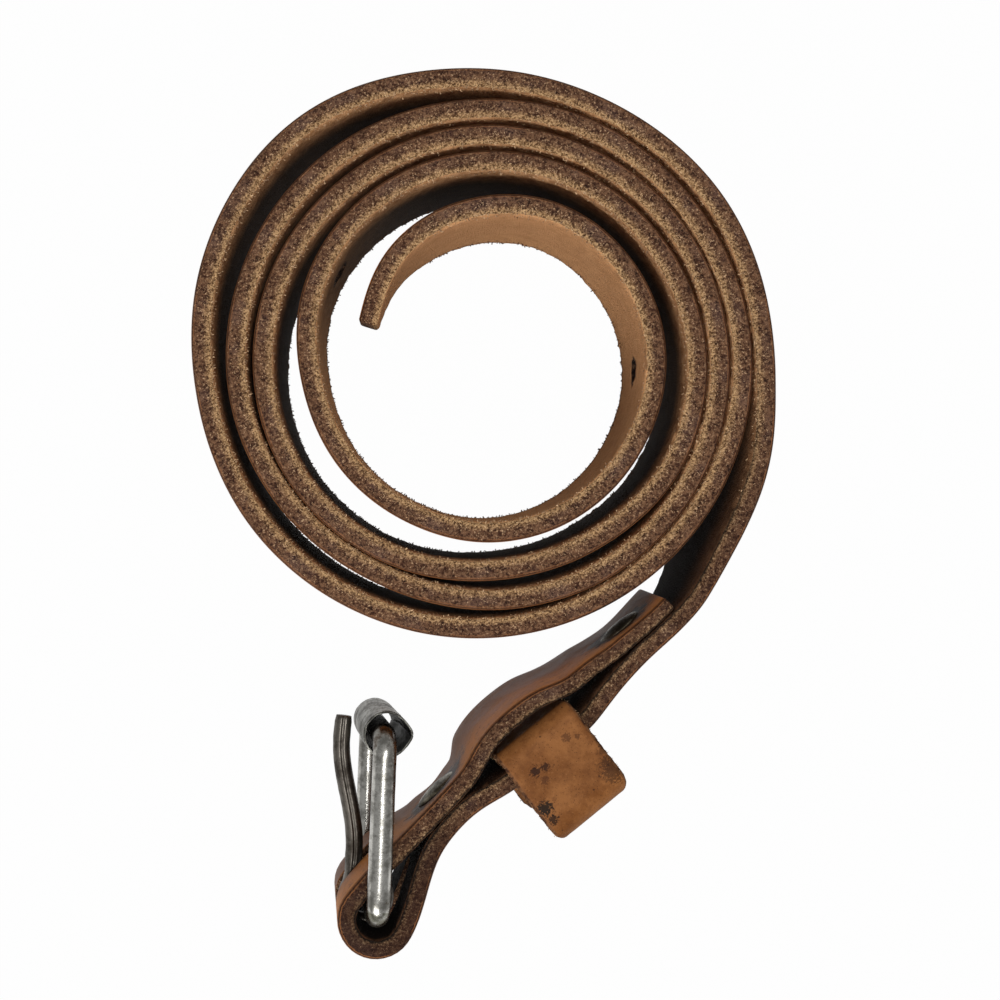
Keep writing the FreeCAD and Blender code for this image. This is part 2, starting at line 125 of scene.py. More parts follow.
# %% The class for finishes
PATCH_RAGGED = 3.2
PATCH_CORE = 0.6


def tone(red, green, blue):
    """A screen colour as linear light."""
    linear = []
    for part in (red, green, blue):
        share = part / 255
        linear.append(share / 12.92 if share <= 0.04045 else ((share + 0.055) / 1.055) ** 2.4)
    return (*linear, 1.0)


class Finish(Tree):
    """A material with one Principled shader."""

    def __init__(self, name, **constants):
        self.material = bpy.data.materials.new(name)
        self.material.use_nodes = True
        super().__init__(self.material.node_tree)
        self.shader = self.nodes.nodes["Principled BSDF"]
        for socket, value in constants.items():
            self.shader.inputs[socket.replace("_", " ")].default_value = value

    def set(self, socket, value):
        self.nodes.links.new(value.socket, self.shader.inputs[socket])

    def place(self):
        """Where a point of the surface lies on the object."""
        return self.add("ShaderNodeTexCoord", out="Object")

    def lay(self, axis, layer="lay"):
        """One of the two numbers that the piece stores on its surface."""
        spot = self.add("ShaderNodeUVMap", {"uv_map": layer})
        return self.add("ShaderNodeSeparateXYZ", {}, {0: spot}, out=axis)

    def noise(self, size, detail=3.0, rough=0.5, squash=None):
        """Cloudy noise from 0 to 1 whose blots are about that many millimetres across."""
        at = self.place()
        if squash:
            at = self.add("ShaderNodeVectorMath", {"operation": "MULTIPLY"}, {0: at, 1: squash})
        sockets = {"Vector": at, "Scale": 1 / (size * MM), "Detail": detail, "Roughness": rough}
        return self.add("ShaderNodeTexNoise", {}, sockets)

    def cells(self, size):
        """Distance to scattered points about that many millimetres apart."""
        sockets = {"Vector": self.place(), "Scale": 1 / (size * MM)}
        return self.add("ShaderNodeTexVoronoi", {}, sockets)

    def mix(self, low, high, share):
        sockets = {0: share, 6: low, 7: high}
        return self.add("ShaderNodeMix", {"data_type": "RGBA"}, sockets, out=2)

    def layered(self, colour, *layers):
        """A colour under further ones. Each layer is a colour and how much of it shows."""
        for over, share in layers:
            colour = self.mix(colour, over, share)
        return colour

    def patched(self, colour, spots, ragged):
        """Patches about given places, each with a reach in millimetres, a tone and a strength. They
        serve for real stains and for painted shade.
        """
        for spot, reach, patch_tone, strength in spots:
            sockets = {0: self.place(), 1: tuple(spot)}
            away = self.add("ShaderNodeVectorMath", {"operation": "DISTANCE"}, sockets, out=1)
            torn = away + (ragged - 0.5) * (reach * PATCH_RAGGED * MM)
            inside = self.ease(torn, reach * MM, reach * PATCH_CORE * MM)
            colour = self.mix(colour, patch_tone, inside * strength)
        return colour

    def bump(self, height, distance, strength=1.0):
        sockets = {"Height": height, "Distance": distance * MM, "Strength": strength}
        self.set("Normal", self.add("ShaderNodeBump", {}, sockets))


print("a half grey screen colour is", round(tone(128, 128, 128)[0], 3), "of the light of white")

# %% [markdown]
# ## The line that the strap follows
# Seen from above, the middle of the leather is one smooth line. It starts at the free end inside the
# roll, winds outward clockwise, leaves the roll as a straight end, folds round the buckle's bar and
# comes back beside itself. A natural cubic spline through a few points gives that line: in the roll
# they are worked out from the first turn's radii and the gaps between the turns, every 30 degrees.
# Natural means that its curvature fades to nothing at both ends, as it does in a springy strip.

# %% Spline and numbers of the roll
STRAP_WIDTH = 25.4
STRAP_THICKNESS = 3.4
FOLD_THICKNESS = 3.0
FOLD_SKIVE = 10.0
END_THICKNESS = 2.4
END_SKIVE = 46.0
END_SLANT = 2.8
END_SLANT_REACH = 16.0
TURN_GAP_MIN = 0.3
ROLL_CENTRE = (-0.61, 22.72)
FREE_END_ANGLE = 155.0
ROLL_STEP = 30.0
FIRST_TURN = [22.8, 25.9, 28.6, 30.9, 31.5, 31.3, 30.3, 29.6, 28.9, 28.2, 28.6, 29.8]
TURN_GAPS = [
    6.4, 5.6, 4.5, 3.1, 2.9, 3.4, 3.9, 2.9, 2.9, 4.3, 4.9, 4.6,
    2.7, 1.3, 1.0, 0.8, 0.9, 0.4, 0.5, 1.7, 1.6, 0.3, 0.3, 1.0,
    1.3, 1.6, 1.0, 1.0, 0.3, 0.4, 0.3, 0.4, 1.2, 2.3, 2.4, 2.0,
    3.5, 4.1, 2.0, 0.6, 0.9, 0.3, 1.7,
]
POINTS_PER_STEP = 3
SPLINE_FINENESS = 60
UP = np.array([0.0, 0.0, 1.0])


def run_along(line):
    """How far along a line each of its points lies."""
    return np.concatenate([[0], np.cumsum(np.linalg.norm(np.diff(line, axis=0), axis=1))])


def line_at(line, stops):
    """Points of a line at given distances along it."""
    run = run_along(line)
    return np.stack([np.interp(stops, run, column) for column in line.T], axis=1)


def on_circle(radius, angle, centre=(0.0, 0.0)):
    return centre[0] + radius * math.cos(angle), centre[1] + radius * math.sin(angle)


def smooth_line(points, step):
    """Evenly spaced points on a natural cubic spline through the given ones."""
    points = np.array(points, float)
    at = run_along(points)
    gap = np.diff(at)
    count = len(points)
    matrix = np.eye(count)
    slopes = np.diff(points, axis=0) / gap[:, None]
    right = np.zeros(points.shape)
    for row in range(1, count - 1):
        matrix[row, row - 1:row + 2] = gap[row - 1], 2 * (gap[row - 1] + gap[row]), gap[row]
        right[row] = 6 * (slopes[row] - slopes[row - 1])
    bend = np.linalg.solve(matrix, right)

    def value(where):
        index = np.clip(np.searchsorted(at, where) - 1, 0, count - 2)
        size = gap[index][:, None]
        after = (where - at[index])[:, None] / size
        before = 1 - after
        curl = (before ** 3 - before) * bend[index] + (after ** 3 - after) * bend[index + 1]
        return before * points[index] + after * points[index + 1] + curl * size ** 2 / 6

    fine = value(np.linspace(0, at[-1], count * SPLINE_FINENESS))
    length = run_along(fine)[-1]
    return line_at(fine, np.linspace(0, length, int(round(length / step)) + 1))


def smooth_value(values, position):
    """Smooth curve through evenly spaced numbers."""
    index = max(0, min(len(values) - 2, int(position)))
    here, there = values[index], values[index + 1]
    start = (there - values[max(index - 1, 0)]) / 2
    end = (values[min(index + 2, len(values) - 1)] - here) / 2
    part = position - index
    cubic = 2 * here - 2 * there + start + end
    square = 3 * there - 3 * here - 2 * start - end
    return ((cubic * part + square) * part + start) * part + here


def roll_line():
    """Middle of the leather in the roll, from the free end out."""
    radii = list(FIRST_TURN)
    for gap in TURN_GAPS:
        radii.append(radii[-len(FIRST_TURN)] + STRAP_THICKNESS + max(gap, TURN_GAP_MIN))
    points = []
    for count in range(POINTS_PER_STEP * (len(radii) - 1) + 1):
        step = count / POINTS_PER_STEP
        radius = smooth_value(radii, step) - STRAP_THICKNESS / 2
        angle = math.radians(FREE_END_ANGLE - ROLL_STEP * step)
        points.append((*on_circle(radius, angle, ROLL_CENTRE), 0))
    return points


print("turns in the roll:", round((len(FIRST_TURN) + len(TURN_GAPS) - 1) * ROLL_STEP / 360, 2))

# %% [markdown]
# ## The buckle end
# The outer end climbs a few degrees out of the roll's plane. Its own frame has its first axis along
# the strap from the buckle's bar toward the roll, and its second toward the folded-back layer. Two
# layers with a keeper between them part round it like lips, and close again at the rivets.

# %% The whole line, from the free end to the end of the folded-back layer
BAR_FROM_ROLL = (-18.95, -89.4)
END_DIRECTION = 42.0
LEAN = 6.5
LEAN_FULL_AT = 84.0
LEAN_FADE = 30.0
MAIN_LAYER = [(84.0, 5.5), (76.0, 2.8), (72.0, 1.75), (69.0, 1.4), (64.5, 1.3), (60.0, 1.4),
              (56.0, 1.25), (52.0, 0.85), (48.5, 0.3), (45.0, -0.15), (41.0, 0.07), (37.0, 0.4),
              (33.0, 0.73), (29.0, 1.1), (24.0, 2.25), (20.0, 2.65), (16.5, 2.4), (13.3, 1.7)]
LAYER_GAPS = [(16.0, 0.3), (21.0, 0.3), (25.0, 1.6), (28.3, 3.6), (32.65, 4.575), (37.0, 4.9),
              (41.35, 4.575), (45.7, 3.6), (48.0, 2.8), (51.5, 1.9), (55.0, 0.95), (58.0, 0.5),
              (62.0, 0.3), (71.5, 0.3)]
EDGE_SHIFT = [(4.0, 0.0), (8.0, 0.6), (14.0, 1.8), (19.0, 2.4), (23.5, 1.9), (28.2, 0.0),
              (46.0, 0.0), (52.0, 0.6), (61.0, 1.4), (70.0, 1.0), (80.0, 0.0)]
FOLD_CENTRE = (-0.7, -0.2)
FOLD_INNER_RADIUS = 3.3
FOLD_FLANK = 26.0
FOLD_POINTS = 9
STEP = 0.1
BAR = np.array([ROLL_CENTRE[0] + BAR_FROM_ROLL[0], ROLL_CENTRE[1] + BAR_FROM_ROLL[1], 0])
HEADING = np.array([math.cos(math.radians(END_DIRECTION)), math.sin(math.radians(END_DIRECTION)), 0])
ASIDE = np.cross(UP, HEADING)


def in_layout(spot):
    """A point of the buckle end's frame, before the strap leans."""
    spot = np.asarray(spot, float)
    return BAR + HEADING * spot[..., 0:1] + ASIDE * spot[..., 1:2] + UP * spot[..., 2:3]


MAIN_POINTS = [(along, aside, 0) for along, aside in MAIN_LAYER]
MAIN_LINE = smooth_line(MAIN_POINTS, STEP)


def main_spot(along):
    """Middle of the main layer near a distance from the bar, and the way to its flesh side."""
    index = int(np.argmin(np.abs(MAIN_LINE[:, 0] - along)))
    index = max(1, min(len(MAIN_LINE) - 2, index))
    way = MAIN_LINE[index + 1] - MAIN_LINE[index - 1]
    return MAIN_LINE[index], np.cross(way / np.linalg.norm(way), UP)


def lap_thickness(along):
    """Thickness of the folded-back layer, which was skived toward its end."""
    full = min((LAYER_GAPS[-1][0] - along) / END_SKIVE, 1)
    return END_THICKNESS + (FOLD_THICKNESS - END_THICKNESS) * full


def end_line():
    points = list(MAIN_POINTS)
    radius = FOLD_INNER_RADIUS + FOLD_THICKNESS / 2
    for count in range(FOLD_POINTS):
        turned = -(180 + FOLD_FLANK) * count / (FOLD_POINTS - 1)
        angle = math.radians(FOLD_FLANK - 90 + turned)
        points.append((*on_circle(radius, angle, FOLD_CENTRE), 0))
    for along, gap in LAYER_GAPS:
        spot, flesh_side = main_spot(along)
        points.append(spot + flesh_side * (FOLD_THICKNESS / 2 + gap + lap_thickness(along) / 2))
    return [in_layout(point) for point in points]


LINE = smooth_line(roll_line() + end_line(), STEP)
STRAP_LENGTH = (len(LINE) - 1) * STEP


def run_to(spot):
    """Length of strap from the free end to the point nearest to one of the buckle end's frame."""
    return int(np.argmin(np.linalg.norm(LINE - in_layout(spot), axis=1))) * STEP


LEAN_END = run_to(main_spot(LEAN_FULL_AT)[0])
LEAN_START = LEAN_END - LEAN_FADE
FOLD_START = run_to((*MAIN_LAYER[-1], 0))
print("strap length:", round(STRAP_LENGTH, 1), "mm; it leans from", round(LEAN_START, 1))

# %% [markdown]
# ## Cross-sections along the line
# A sweep needs three things at each place: a point, the way to the grain side and the way up. Where
# the strap climbs, both ways turn about a level axis. The thickness falls where the leather was
# skived, which means shaved from the flesh side so that it bends round a bar without cracking. The
# lap's end is cut at a slant, so its upper edge draws back from its lower one.

# %% Places along the strap
def leaned(degrees):
    return np.array(Matrix.Rotation(math.radians(degrees), 3, Vector(np.cross(UP, HEADING))))


def climb():
    """Lean and height at the foot of each place of the line."""
    run = np.arange(len(LINE)) * STEP
    share = np.clip((run - LEAN_START) / LEAN_FADE, 0, 1)
    angle = LEAN * share * share * (3 - 2 * share)
    rise = np.concatenate([[0], -np.tan(np.radians(angle[1:])) * (np.diff(LINE, axis=0) @ HEADING)])
    rise[run > LEAN_END] = 0
    return angle, np.cumsum(rise)


LEAN_ANGLE, LEAN_HEIGHT = climb()
PIVOT = LINE[int(LEAN_END / STEP)]
PIVOT_LIFT = UP * LEAN_HEIGHT[-1]
END_TURN = leaned(LEAN)


def in_row(spot):
    """A point of the buckle end's frame, where it lies on the object, in metres."""
    return ((in_layout(spot) - PIVOT) @ END_TURN.T + PIVOT + PIVOT_LIFT) * MM


def half_thickness(run):
    skived = np.clip((run - LEAN_END) / FOLD_SKIVE, 0, 1)
    full = STRAP_THICKNESS + (FOLD_THICKNESS - STRAP_THICKNESS) * skived
    end = END_THICKNESS + (FOLD_THICKNESS - END_THICKNESS) * (STRAP_LENGTH - run) / END_SKIVE
    return np.minimum(full, np.where(skived >= 1, end, full)) / 2


def edge_shift(along):
    """How far the rivets twist the strap's lower edge to the grain side of the main layer."""
    if not EDGE_SHIFT[0][0] < along < EDGE_SHIFT[-1][0]:
        return 0.0
    for (near, shift), (far, far_shift) in zip(EDGE_SHIFT, EDGE_SHIFT[1:]):
        if near <= along <= far:
            share = (along - near) / (far - near)
            return shift + (far_shift - shift) * share * share * (3 - 2 * share)


def place_at(run):
    """Foot of the strap at one place, the way to the grain side, the way up, half the thickness."""
    index = max(1, min(len(LINE) - 2, int(round(run / STEP))))
    way = LINE[index + 1] - LINE[index - 1]
    side = np.cross(UP, way / np.linalg.norm(way))
    centre = LINE[max(0, min(len(LINE) - 1, int(round(run / STEP))))]
    half = float(half_thickness(np.array(run)))
    if run <= LEAN_START:
        return centre, side, UP, half
    if run <= LEAN_END:
        turn = leaned(LEAN_ANGLE[index])
        return centre + UP * LEAN_HEIGHT[index], turn @ side, turn @ UP, half
    shift = ASIDE * -edge_shift((centre - BAR) @ HEADING)
    foot = END_TURN @ (centre + shift - PIVOT) + PIVOT + PIVOT_LIFT
    return foot, END_TURN @ side, END_TURN @ (UP - shift / STRAP_WIDTH), half


print("the buckle's bar stands", round(float(in_row((0, 0, 0))[2]) / MM, 2), "mm above the roll's foot")

# %% [markdown]
# ## The strap as one swept skin
# The real strap is cut from a side of leather. Its grain side was polished with its corners
# bevelled, its flesh side stayed rough, and its cut edges show loose fibre. The sweep copies that:
# a wide round at the grain corners, a tight one at the flesh corners, and small noise that is
# strongest at the flesh corner. A sweep is used rather than a curve with a bevel, because the
# thickness changes and the free end narrows to a point.

# %% The section and its unevenness
GRAIN_ROUND = 0.85
FLESH_ROUND = 0.35
POINT_LENGTH = 21.0
POINT_TIP = 6.5
POINT_CURVE = 1.75
SWEEP_STEP = 0.85
END_ROUND = 0.4
END_TRIM = 0.35


def arc(centre, radius, start, end, count):
    turns = np.radians(np.linspace(start, end, count + 1))
    return [on_circle(radius, turn, centre) for turn in turns]


def section(half, low, high):
    """Loop of (toward the grain side, height), starting at the foot of the flesh side."""
    grain = min(GRAIN_ROUND, half * 0.7)
    flesh = FLESH_ROUND
    loop = [(-half, height) for height in np.linspace(low + flesh, high - flesh, 12)]
    loop += arc((-half + flesh, high - flesh), flesh, 180, 90, 3)[1:]
    loop += [(across, high) for across in np.linspace(-half + flesh, half - grain, 8)[1:-1]]
    loop += arc((half - grain, high - grain), grain, 90, 0, 5)
    loop += [(half, height) for height in np.linspace(high - grain, low + grain, 10)[1:-1]]
    loop += arc((half - grain, low + grain), grain, 0, -90, 4)
    loop += [(across, low) for across in np.linspace(half - grain, -half + flesh, 7)[1:-1]]
    loop += arc((-half + flesh, low + flesh), flesh, -90, -180, 3)[:-1]
    return np.array(loop)


def point_width(run):
    """Share of the strap's width left at a place in the free end's blunt point."""
    if run >= POINT_LENGTH:
        return 1.0
    share = run / POINT_LENGTH
    tip = POINT_TIP / STRAP_WIDTH
    return tip + (1 - tip) * (1 - (1 - share) ** POINT_CURVE)


def roughness(spot, across, half, height):
    """How far the leather stands out of its true section at one point, along (side, up)."""
    at = Vector(spot)
    fleshy = min(max(-across / half, 0), 1)
    on_edge = 1 if min(height, STRAP_WIDTH - height) < FLESH_ROUND else 0
    blot = noise.noise(at * 0.45)
    fine = noise.noise(at * 1.3 + Vector((7, 3, 1)))
    crumb = noise.noise(at * 3.1 + Vector((1, 9, 4)))
    side = -fleshy ** 3 * (0.07 * blot + 0.09 * fine + (0.07 + 0.22 * on_edge) * crumb)
    lift = on_edge * (0.05 * blot + (0.03 + 0.08 * fleshy) * fine + 0.08 * crumb)
    return side, lift - on_edge * 0.10 * fleshy ** 2


def strap_mesh():
    at_end = np.array([0, 0.3 * END_ROUND, END_ROUND])
    inner = np.arange(END_ROUND + 0.5, STRAP_LENGTH - END_ROUND - 0.5, SWEEP_STEP)
    runs = np.concatenate([at_end, inner, STRAP_LENGTH - at_end[::-1]])
    points = []
    lay = []
    rise = []
    for run in runs:
        foot, side, up, half = place_at(run)
        closing = min(run, STRAP_LENGTH - run)
        trim = END_TRIM * (1 - min(closing / END_ROUND, 1)) ** 2
        narrow = (1 - point_width(run)) * STRAP_WIDTH / 2
        loop = section(half - trim, narrow + trim, STRAP_WIDTH - narrow - trim)
        drawn_back = END_SLANT * max(0, 1 - (STRAP_LENGTH - run) / END_SLANT_REACH) ** 2
        upper_centre = place_at(run - drawn_back)[0]
        for across, height in loop:
            centre = foot + (upper_centre - foot) * height / STRAP_WIDTH
            out, lift = roughness(centre + side * across + up * height, across, half, height)
            if height < STRAP_WIDTH / 2:
                lift = max(0, -lift)
            points.append((centre + side * (across + out) + up * (height + lift)) * MM)
            lay.append((run * MM, across / half))
            rise.append((height / STRAP_WIDTH, 0))
    return points, lay, rise, len(runs), len(loop)


strap_points, strap_lay, strap_rise, strap_rings, strap_around = strap_mesh()
print("the sweep has", strap_rings, "rings of", strap_around, "points")

# %% [markdown]
# ## From rings to a skin
# Points alone aren't a surface. Each ring is joined to the next one by four-sided faces, and both
# ends are closed. The places along and across the strap are stored on the surface under names, so
# that finishes and fibres can ask for them later.

# %% Faces between the rings
def store(mesh, layer, pairs):
    """Keeps two numbers for each point on the surface, under a name."""
    spots = np.array(pairs, dtype=np.float32)
    corners = np.zeros(len(mesh.loops), dtype=np.int32)
    mesh.loops.foreach_get("vertex_index", corners)
    mesh.uv_layers.new(name=layer).data.foreach_set("uv", spots[corners].ravel())


def skin(name, points, rings, around, lay=None):
    """Mesh of a tube whose rings follow each other, with both ends closed."""
    faces = []
    for ring in range(rings - 1):
        first = ring * around
        for spot in range(around):
            after = (spot + 1) % around
            faces.append((first + spot, first + around + spot, first + around + after, first + after))
    faces.append(tuple(range(around)))
    faces.append(tuple(reversed(range((rings - 1) * around, rings * around))))
    mesh = bpy.data.meshes.new(name)
    mesh.from_pydata([tuple(point) for point in points], [], faces)
    if lay:
        store(mesh, "lay", lay)
    mesh.polygons.foreach_set("use_smooth", [True] * len(mesh.polygons))
    mesh.update()
    return mesh


def outward(mesh):
    """Turns every face outward."""
    shape = bmesh.new()
    shape.from_mesh(mesh)
    bmesh.ops.recalc_face_normals(shape, faces=shape.faces)
    shape.to_mesh(mesh)
    shape.free()


def show(name, mesh, material=None):
    thing = bpy.data.objects.new(name, mesh)
    bpy.context.scene.collection.objects.link(thing)
    if material:
        mesh.materials.clear()
        mesh.materials.append(material)
    return thing


strap_skin = skin("strap", strap_points, strap_rings, strap_around, strap_lay)
store(strap_skin, "rise", strap_rise)
outward(strap_skin)
print("strap skin:", len(strap_skin.polygons), "faces in", strap_rings, "rings")

# %% [markdown]
# ## Holes punched in the strap
# A punch takes out the tongue holes and the long slot at the fold. Cutting them from the finished
# skin, as the punch does, keeps the walls of the holes as real geometry.

# %% Punch the tongue holes and the slot
TONGUE_HOLES = [73.5, 127.2, 180.9]
TONGUE_HOLE_DIAMETER = 4.0
SLOT_WIDTH = 5.2
SLOT_REACH = 8.5
SLOT_PUNCH_REACH = 20.0
HOLE_PUNCH_REACH = 3


def drum(radius, start, end, around=28):
    """Points of a cylinder from one place to another."""
    way = Vector(end) - Vector(start)
    turn = way.to_track_quat("Z", "Y").to_matrix()
    points = []
    for stop in (Vector(start), Vector(end)):
        for count in range(around):
            angle = 2 * math.pi * count / around
            points.append(stop + turn @ Vector((*on_circle(radius, angle), 0)))
    return skin("drum", points, 2, around, [(0.0, 0.0)] * len(points))


def slot_punch():
    """A bar with one round end, across the fold."""
    reach = SLOT_REACH - SLOT_WIDTH / 2
    outline = [(-SLOT_PUNCH_REACH, -SLOT_WIDTH / 2), (-SLOT_PUNCH_REACH, SLOT_WIDTH / 2)]
    outline += arc((reach, 0), SLOT_WIDTH / 2, 90, -90, 14)
    points = []
    for aside in (-SLOT_PUNCH_REACH, SLOT_PUNCH_REACH):
        for along, up in outline:
            points.append(in_row((along, aside, STRAP_WIDTH / 2 + up)))
    return skin("slot punch", points, 2, len(outline), [(0.0, 0.0)] * len(points))


def as_mesh(thing):
    """A new plain mesh of an object with its modifiers applied."""
    bpy.context.view_layer.update()
    depsgraph = bpy.context.evaluated_depsgraph_get()
    return bpy.data.meshes.new_from_object(thing.evaluated_get(depsgraph))


def punched(body_mesh, punches):
    body = show("strap", body_mesh)
    for punch in punches:
        outward(punch)
        tool = show("punch", punch)
        cut = body.modifiers.new("punch", "BOOLEAN")
        cut.object = tool
        cut.solver = "EXACT"
    result = as_mesh(body)
    for thing in [each.object for each in body.modifiers] + [body]:
        bpy.data.objects.remove(thing)
    return result


strap_punches = [slot_punch()]
for hole in TONGUE_HOLES:
    foot, side, up, half = place_at(hole)
    middle = foot + up * STRAP_WIDTH / 2
    ends = [(middle + side * aside) * MM for aside in (-HOLE_PUNCH_REACH, HOLE_PUNCH_REACH)]
    strap_punches.append(drum(TONGUE_HOLE_DIAMETER / 2 * MM, *ends))
strap_cut = punched(strap_skin, strap_punches)
print("punched strap:", len(strap_cut.polygons), "faces")

# %% [markdown]
# ## Leather
# Three surfaces meet on the strap, and the piece's own second number tells them apart: -1 is the
# flesh side, 1 the grain side, and between them lie the cut edges. The grain side is smooth, waxed
# and orange-brown. A cut edge shows bundles of fibre end-on, dark where the finish soaked in near
# the grain and pale and fuzzy near the flesh. The flesh side is nap, with darker blots.

# %% What the strap's finish is mixed by
RIVETS_AT = [19.5, 60.5]
RIVET_ACROSS = 16.0
RECESS_OUT = 6.0
RECESS_REACH = 8.2
HOLE_DARK_REACH = 3.0
FOLD_MIDDLE = FOLD_START + 14
OPEN_TURN_FROM = 150
OPEN_TURN_TO = 200


def rivet_recess(along):
    """Middle of the folded-back layer's grain side where a rivet is pressed in."""
    spot, flesh_side = main_spot(along)
    twist = edge_shift(along) * (1 - RIVET_ACROSS / STRAP_WIDTH)
    return in_row(spot + flesh_side * RECESS_OUT + (0, -twist, RIVET_ACROSS))


def hole_place(run):
    """Middle of a tongue hole on the flesh side."""
    foot, side, up, half = place_at(run)
    return (foot + up * STRAP_WIDTH / 2 - side * half) * MM


def strap_marks(finish):
    """Noises from coarse to fine, and the stretches of the strap that look different."""
    run = finish.lay(0)
    return SimpleNamespace(
        across=finish.lay(1),
        rise=finish.lay(0, "rise"),
        blot=finish.noise(6.0, 4, 0.6),
        patch=finish.noise(1.6, 4, 0.65),
        fleck=finish.noise(0.55, 3, 0.7),
        fibre=finish.noise(0.30, 3, 0.7),
        pore=finish.cells(0.7),
        near_fold=finish.ease(run, (LEAN_START - 20) * MM, (LEAN_END + 10) * MM),
        at_fold=finish.ease(abs(run - FOLD_MIDDLE * MM), 26 * MM, 12 * MM),
        painted_light_open_turn=finish.ease(run, OPEN_TURN_TO * MM, OPEN_TURN_FROM * MM))


leather = Finish("strap leather", Specular_IOR_Level=0.14)
marks = strap_marks(leather)
print("middle of the fold at", round(FOLD_MIDDLE, 1), "mm;", len(leather.nodes.nodes), "nodes")

# %% [markdown]
# ## The cut edge
# Across its thickness a cut edge goes from dark to pale. The dark base gets flecks, pits and pale
# fibre ends from the fine noises. A pale, fuzzy band lies over it toward the flesh corner, with a
# ragged border. Near the buckle all of it is darker, and painted shade makes it black where the two
# layers meet. A thin orange line, partly the waxed grain's colour and partly painted highlight,
# shows where the waxed grain turns the rounded corner.

# %% Colour of the cut edge
def cut_edge(finish, at):
    ease = finish.ease
    pale = finish.layered(
        tone(104, 74, 46),
        (tone(182, 146, 104), ease(at.fibre + at.fleck * 0.4, 0.60, 0.80)),
        (tone(214, 182, 140), ease(finish.cells(0.50), 0.20, 0.06) * 0.8),
        (tone(40, 22, 13), ease(at.fibre, 0.44, 0.34) * 0.8))
    fuzzy = ease(at.patch * 0.9 + at.fleck * 0.5 - at.across, 0.80, 1.50)
    between = ease(at.across + (at.fleck - 0.5) * 0.4, -0.64, -0.86)
    corner = ease(abs(at.across - 0.70 + (at.fleck - 0.5) * 0.25), 0.09, 0.01)
    return finish.layered(
        tone(56, 32, 21),
        (tone(110, 79, 57), ease(at.fleck + at.patch * 0.45, 0.56, 0.86)),
        (tone(94, 72, 64), ease(at.blot, 0.48, 0.70) * 0.40),
        (tone(18, 8, 4), ease(at.fibre + at.patch * 0.3, 0.62, 0.48) * 0.92),
        (tone(206, 172, 134), ease(at.fibre + at.fleck * 0.3 - at.across * 0.04, 0.73, 0.86) * 0.8),
        (pale, fuzzy * (0.85 - at.near_fold * 0.45)),
        (tone(30, 11, 4), at.near_fold * 0.28 + at.at_fold * 0.42),
        # painted shade, black, where the two layers meet near the buckle
        (tone(8, 4, 2), at.near_fold * between * 0.9),
        # partly painted highlight: a thin orange line along the rounded grain corner
        (tone(148, 94, 54), corner * ease(at.blot, 0.40, 0.56) * (0.40 + at.near_fold * 0.25)))


edge_colour = cut_edge(leather, marks)
print("with the cut edge:", len(leather.nodes.nodes), "nodes")

# %% [markdown]
# ## The flesh side and the grain side
# The flesh side is nap. It is pale with painted light where the innermost turn lies open, and painted
# shade makes it darker between the layers near the buckle and nearly black low down between the turns
# and inside the fold. The grain side is waxed, with pores and a darker rim. Painted shade darkens it
# toward its foot and nearly blackens it round the two rivets, where they were pressed in.

# %% Colours of the two sides
def flesh_nap(finish, at):
    ease = finish.ease
    # painted shade, strongest low down between the turns and weaker on the open innermost turn
    painted_shade_low = ease(at.rise, 0.975, 0.60) * (1 - at.painted_light_open_turn * 0.85)
    return finish.layered(
        tone(146, 104, 68),
        (tone(178, 134, 94), ease(at.patch, 0.35, 0.65)),
        (tone(112, 72, 38), ease(at.blot, 0.54, 0.70) * 0.55),
        (tone(72, 40, 22), ease(at.fleck + at.patch * 0.4, 0.60, 0.46) * 0.6),
        # painted light on the innermost turn, which lies open
        (tone(214, 158, 108), at.painted_light_open_turn * 0.55),
        # painted shade between the layers near the buckle
        (tone(48, 22, 11), at.near_fold * 0.85),
        # painted shade: nearly black low down between the turns
        (tone(12, 6, 3), painted_shade_low * 0.92),
        # painted shade, nearly black, inside the fold below its top edge
        (tone(10, 5, 3), at.at_fold * ease(at.rise, 0.985, 0.93) * 0.9))


def waxed_grain(finish, at):
    ease = finish.ease
    waxed = finish.layered(
        tone(168, 104, 52),
        (tone(192, 124, 64), ease(at.blot, 0.35, 0.65)),
        (tone(92, 50, 24), ease(at.patch + at.fleck * 0.3, 0.66, 0.86) * 0.5),
        (tone(70, 38, 20), ease(at.pore, 0.22, 0.10) * 0.4),
        (tone(70, 44, 32), ease(at.rise, 0.955, 0.985) * 0.80),
        # painted shade: the waxed side darkens toward its foot
        (tone(84, 48, 24), ease(at.rise + (at.patch - 0.5) * 0.25, 0.85, 0.25) * 0.75))
    # painted shade, nearly black, in the recesses about the rivets
    rivet_recess_shade = [(rivet_recess(along), RECESS_REACH, tone(16, 9, 6), 0.95) for along in RIVETS_AT]
    return finish.patched(waxed, rivet_recess_shade, at.patch * 0.35 + 0.325)


nap_colour = flesh_nap(leather, marks)
grain_colour = waxed_grain(leather, marks)
print("with both sides:", len(leather.nodes.nodes), "nodes")

# %% [markdown]
# ## The whole finish
# The three colours are put together by the number that runs across the strap. The tongue holes
# are painted dark: painted shade inside them, and a darker ring of leather about them. Rough fibre
# gives the edge and the nap a deep bump, and the waxed side only its pores.

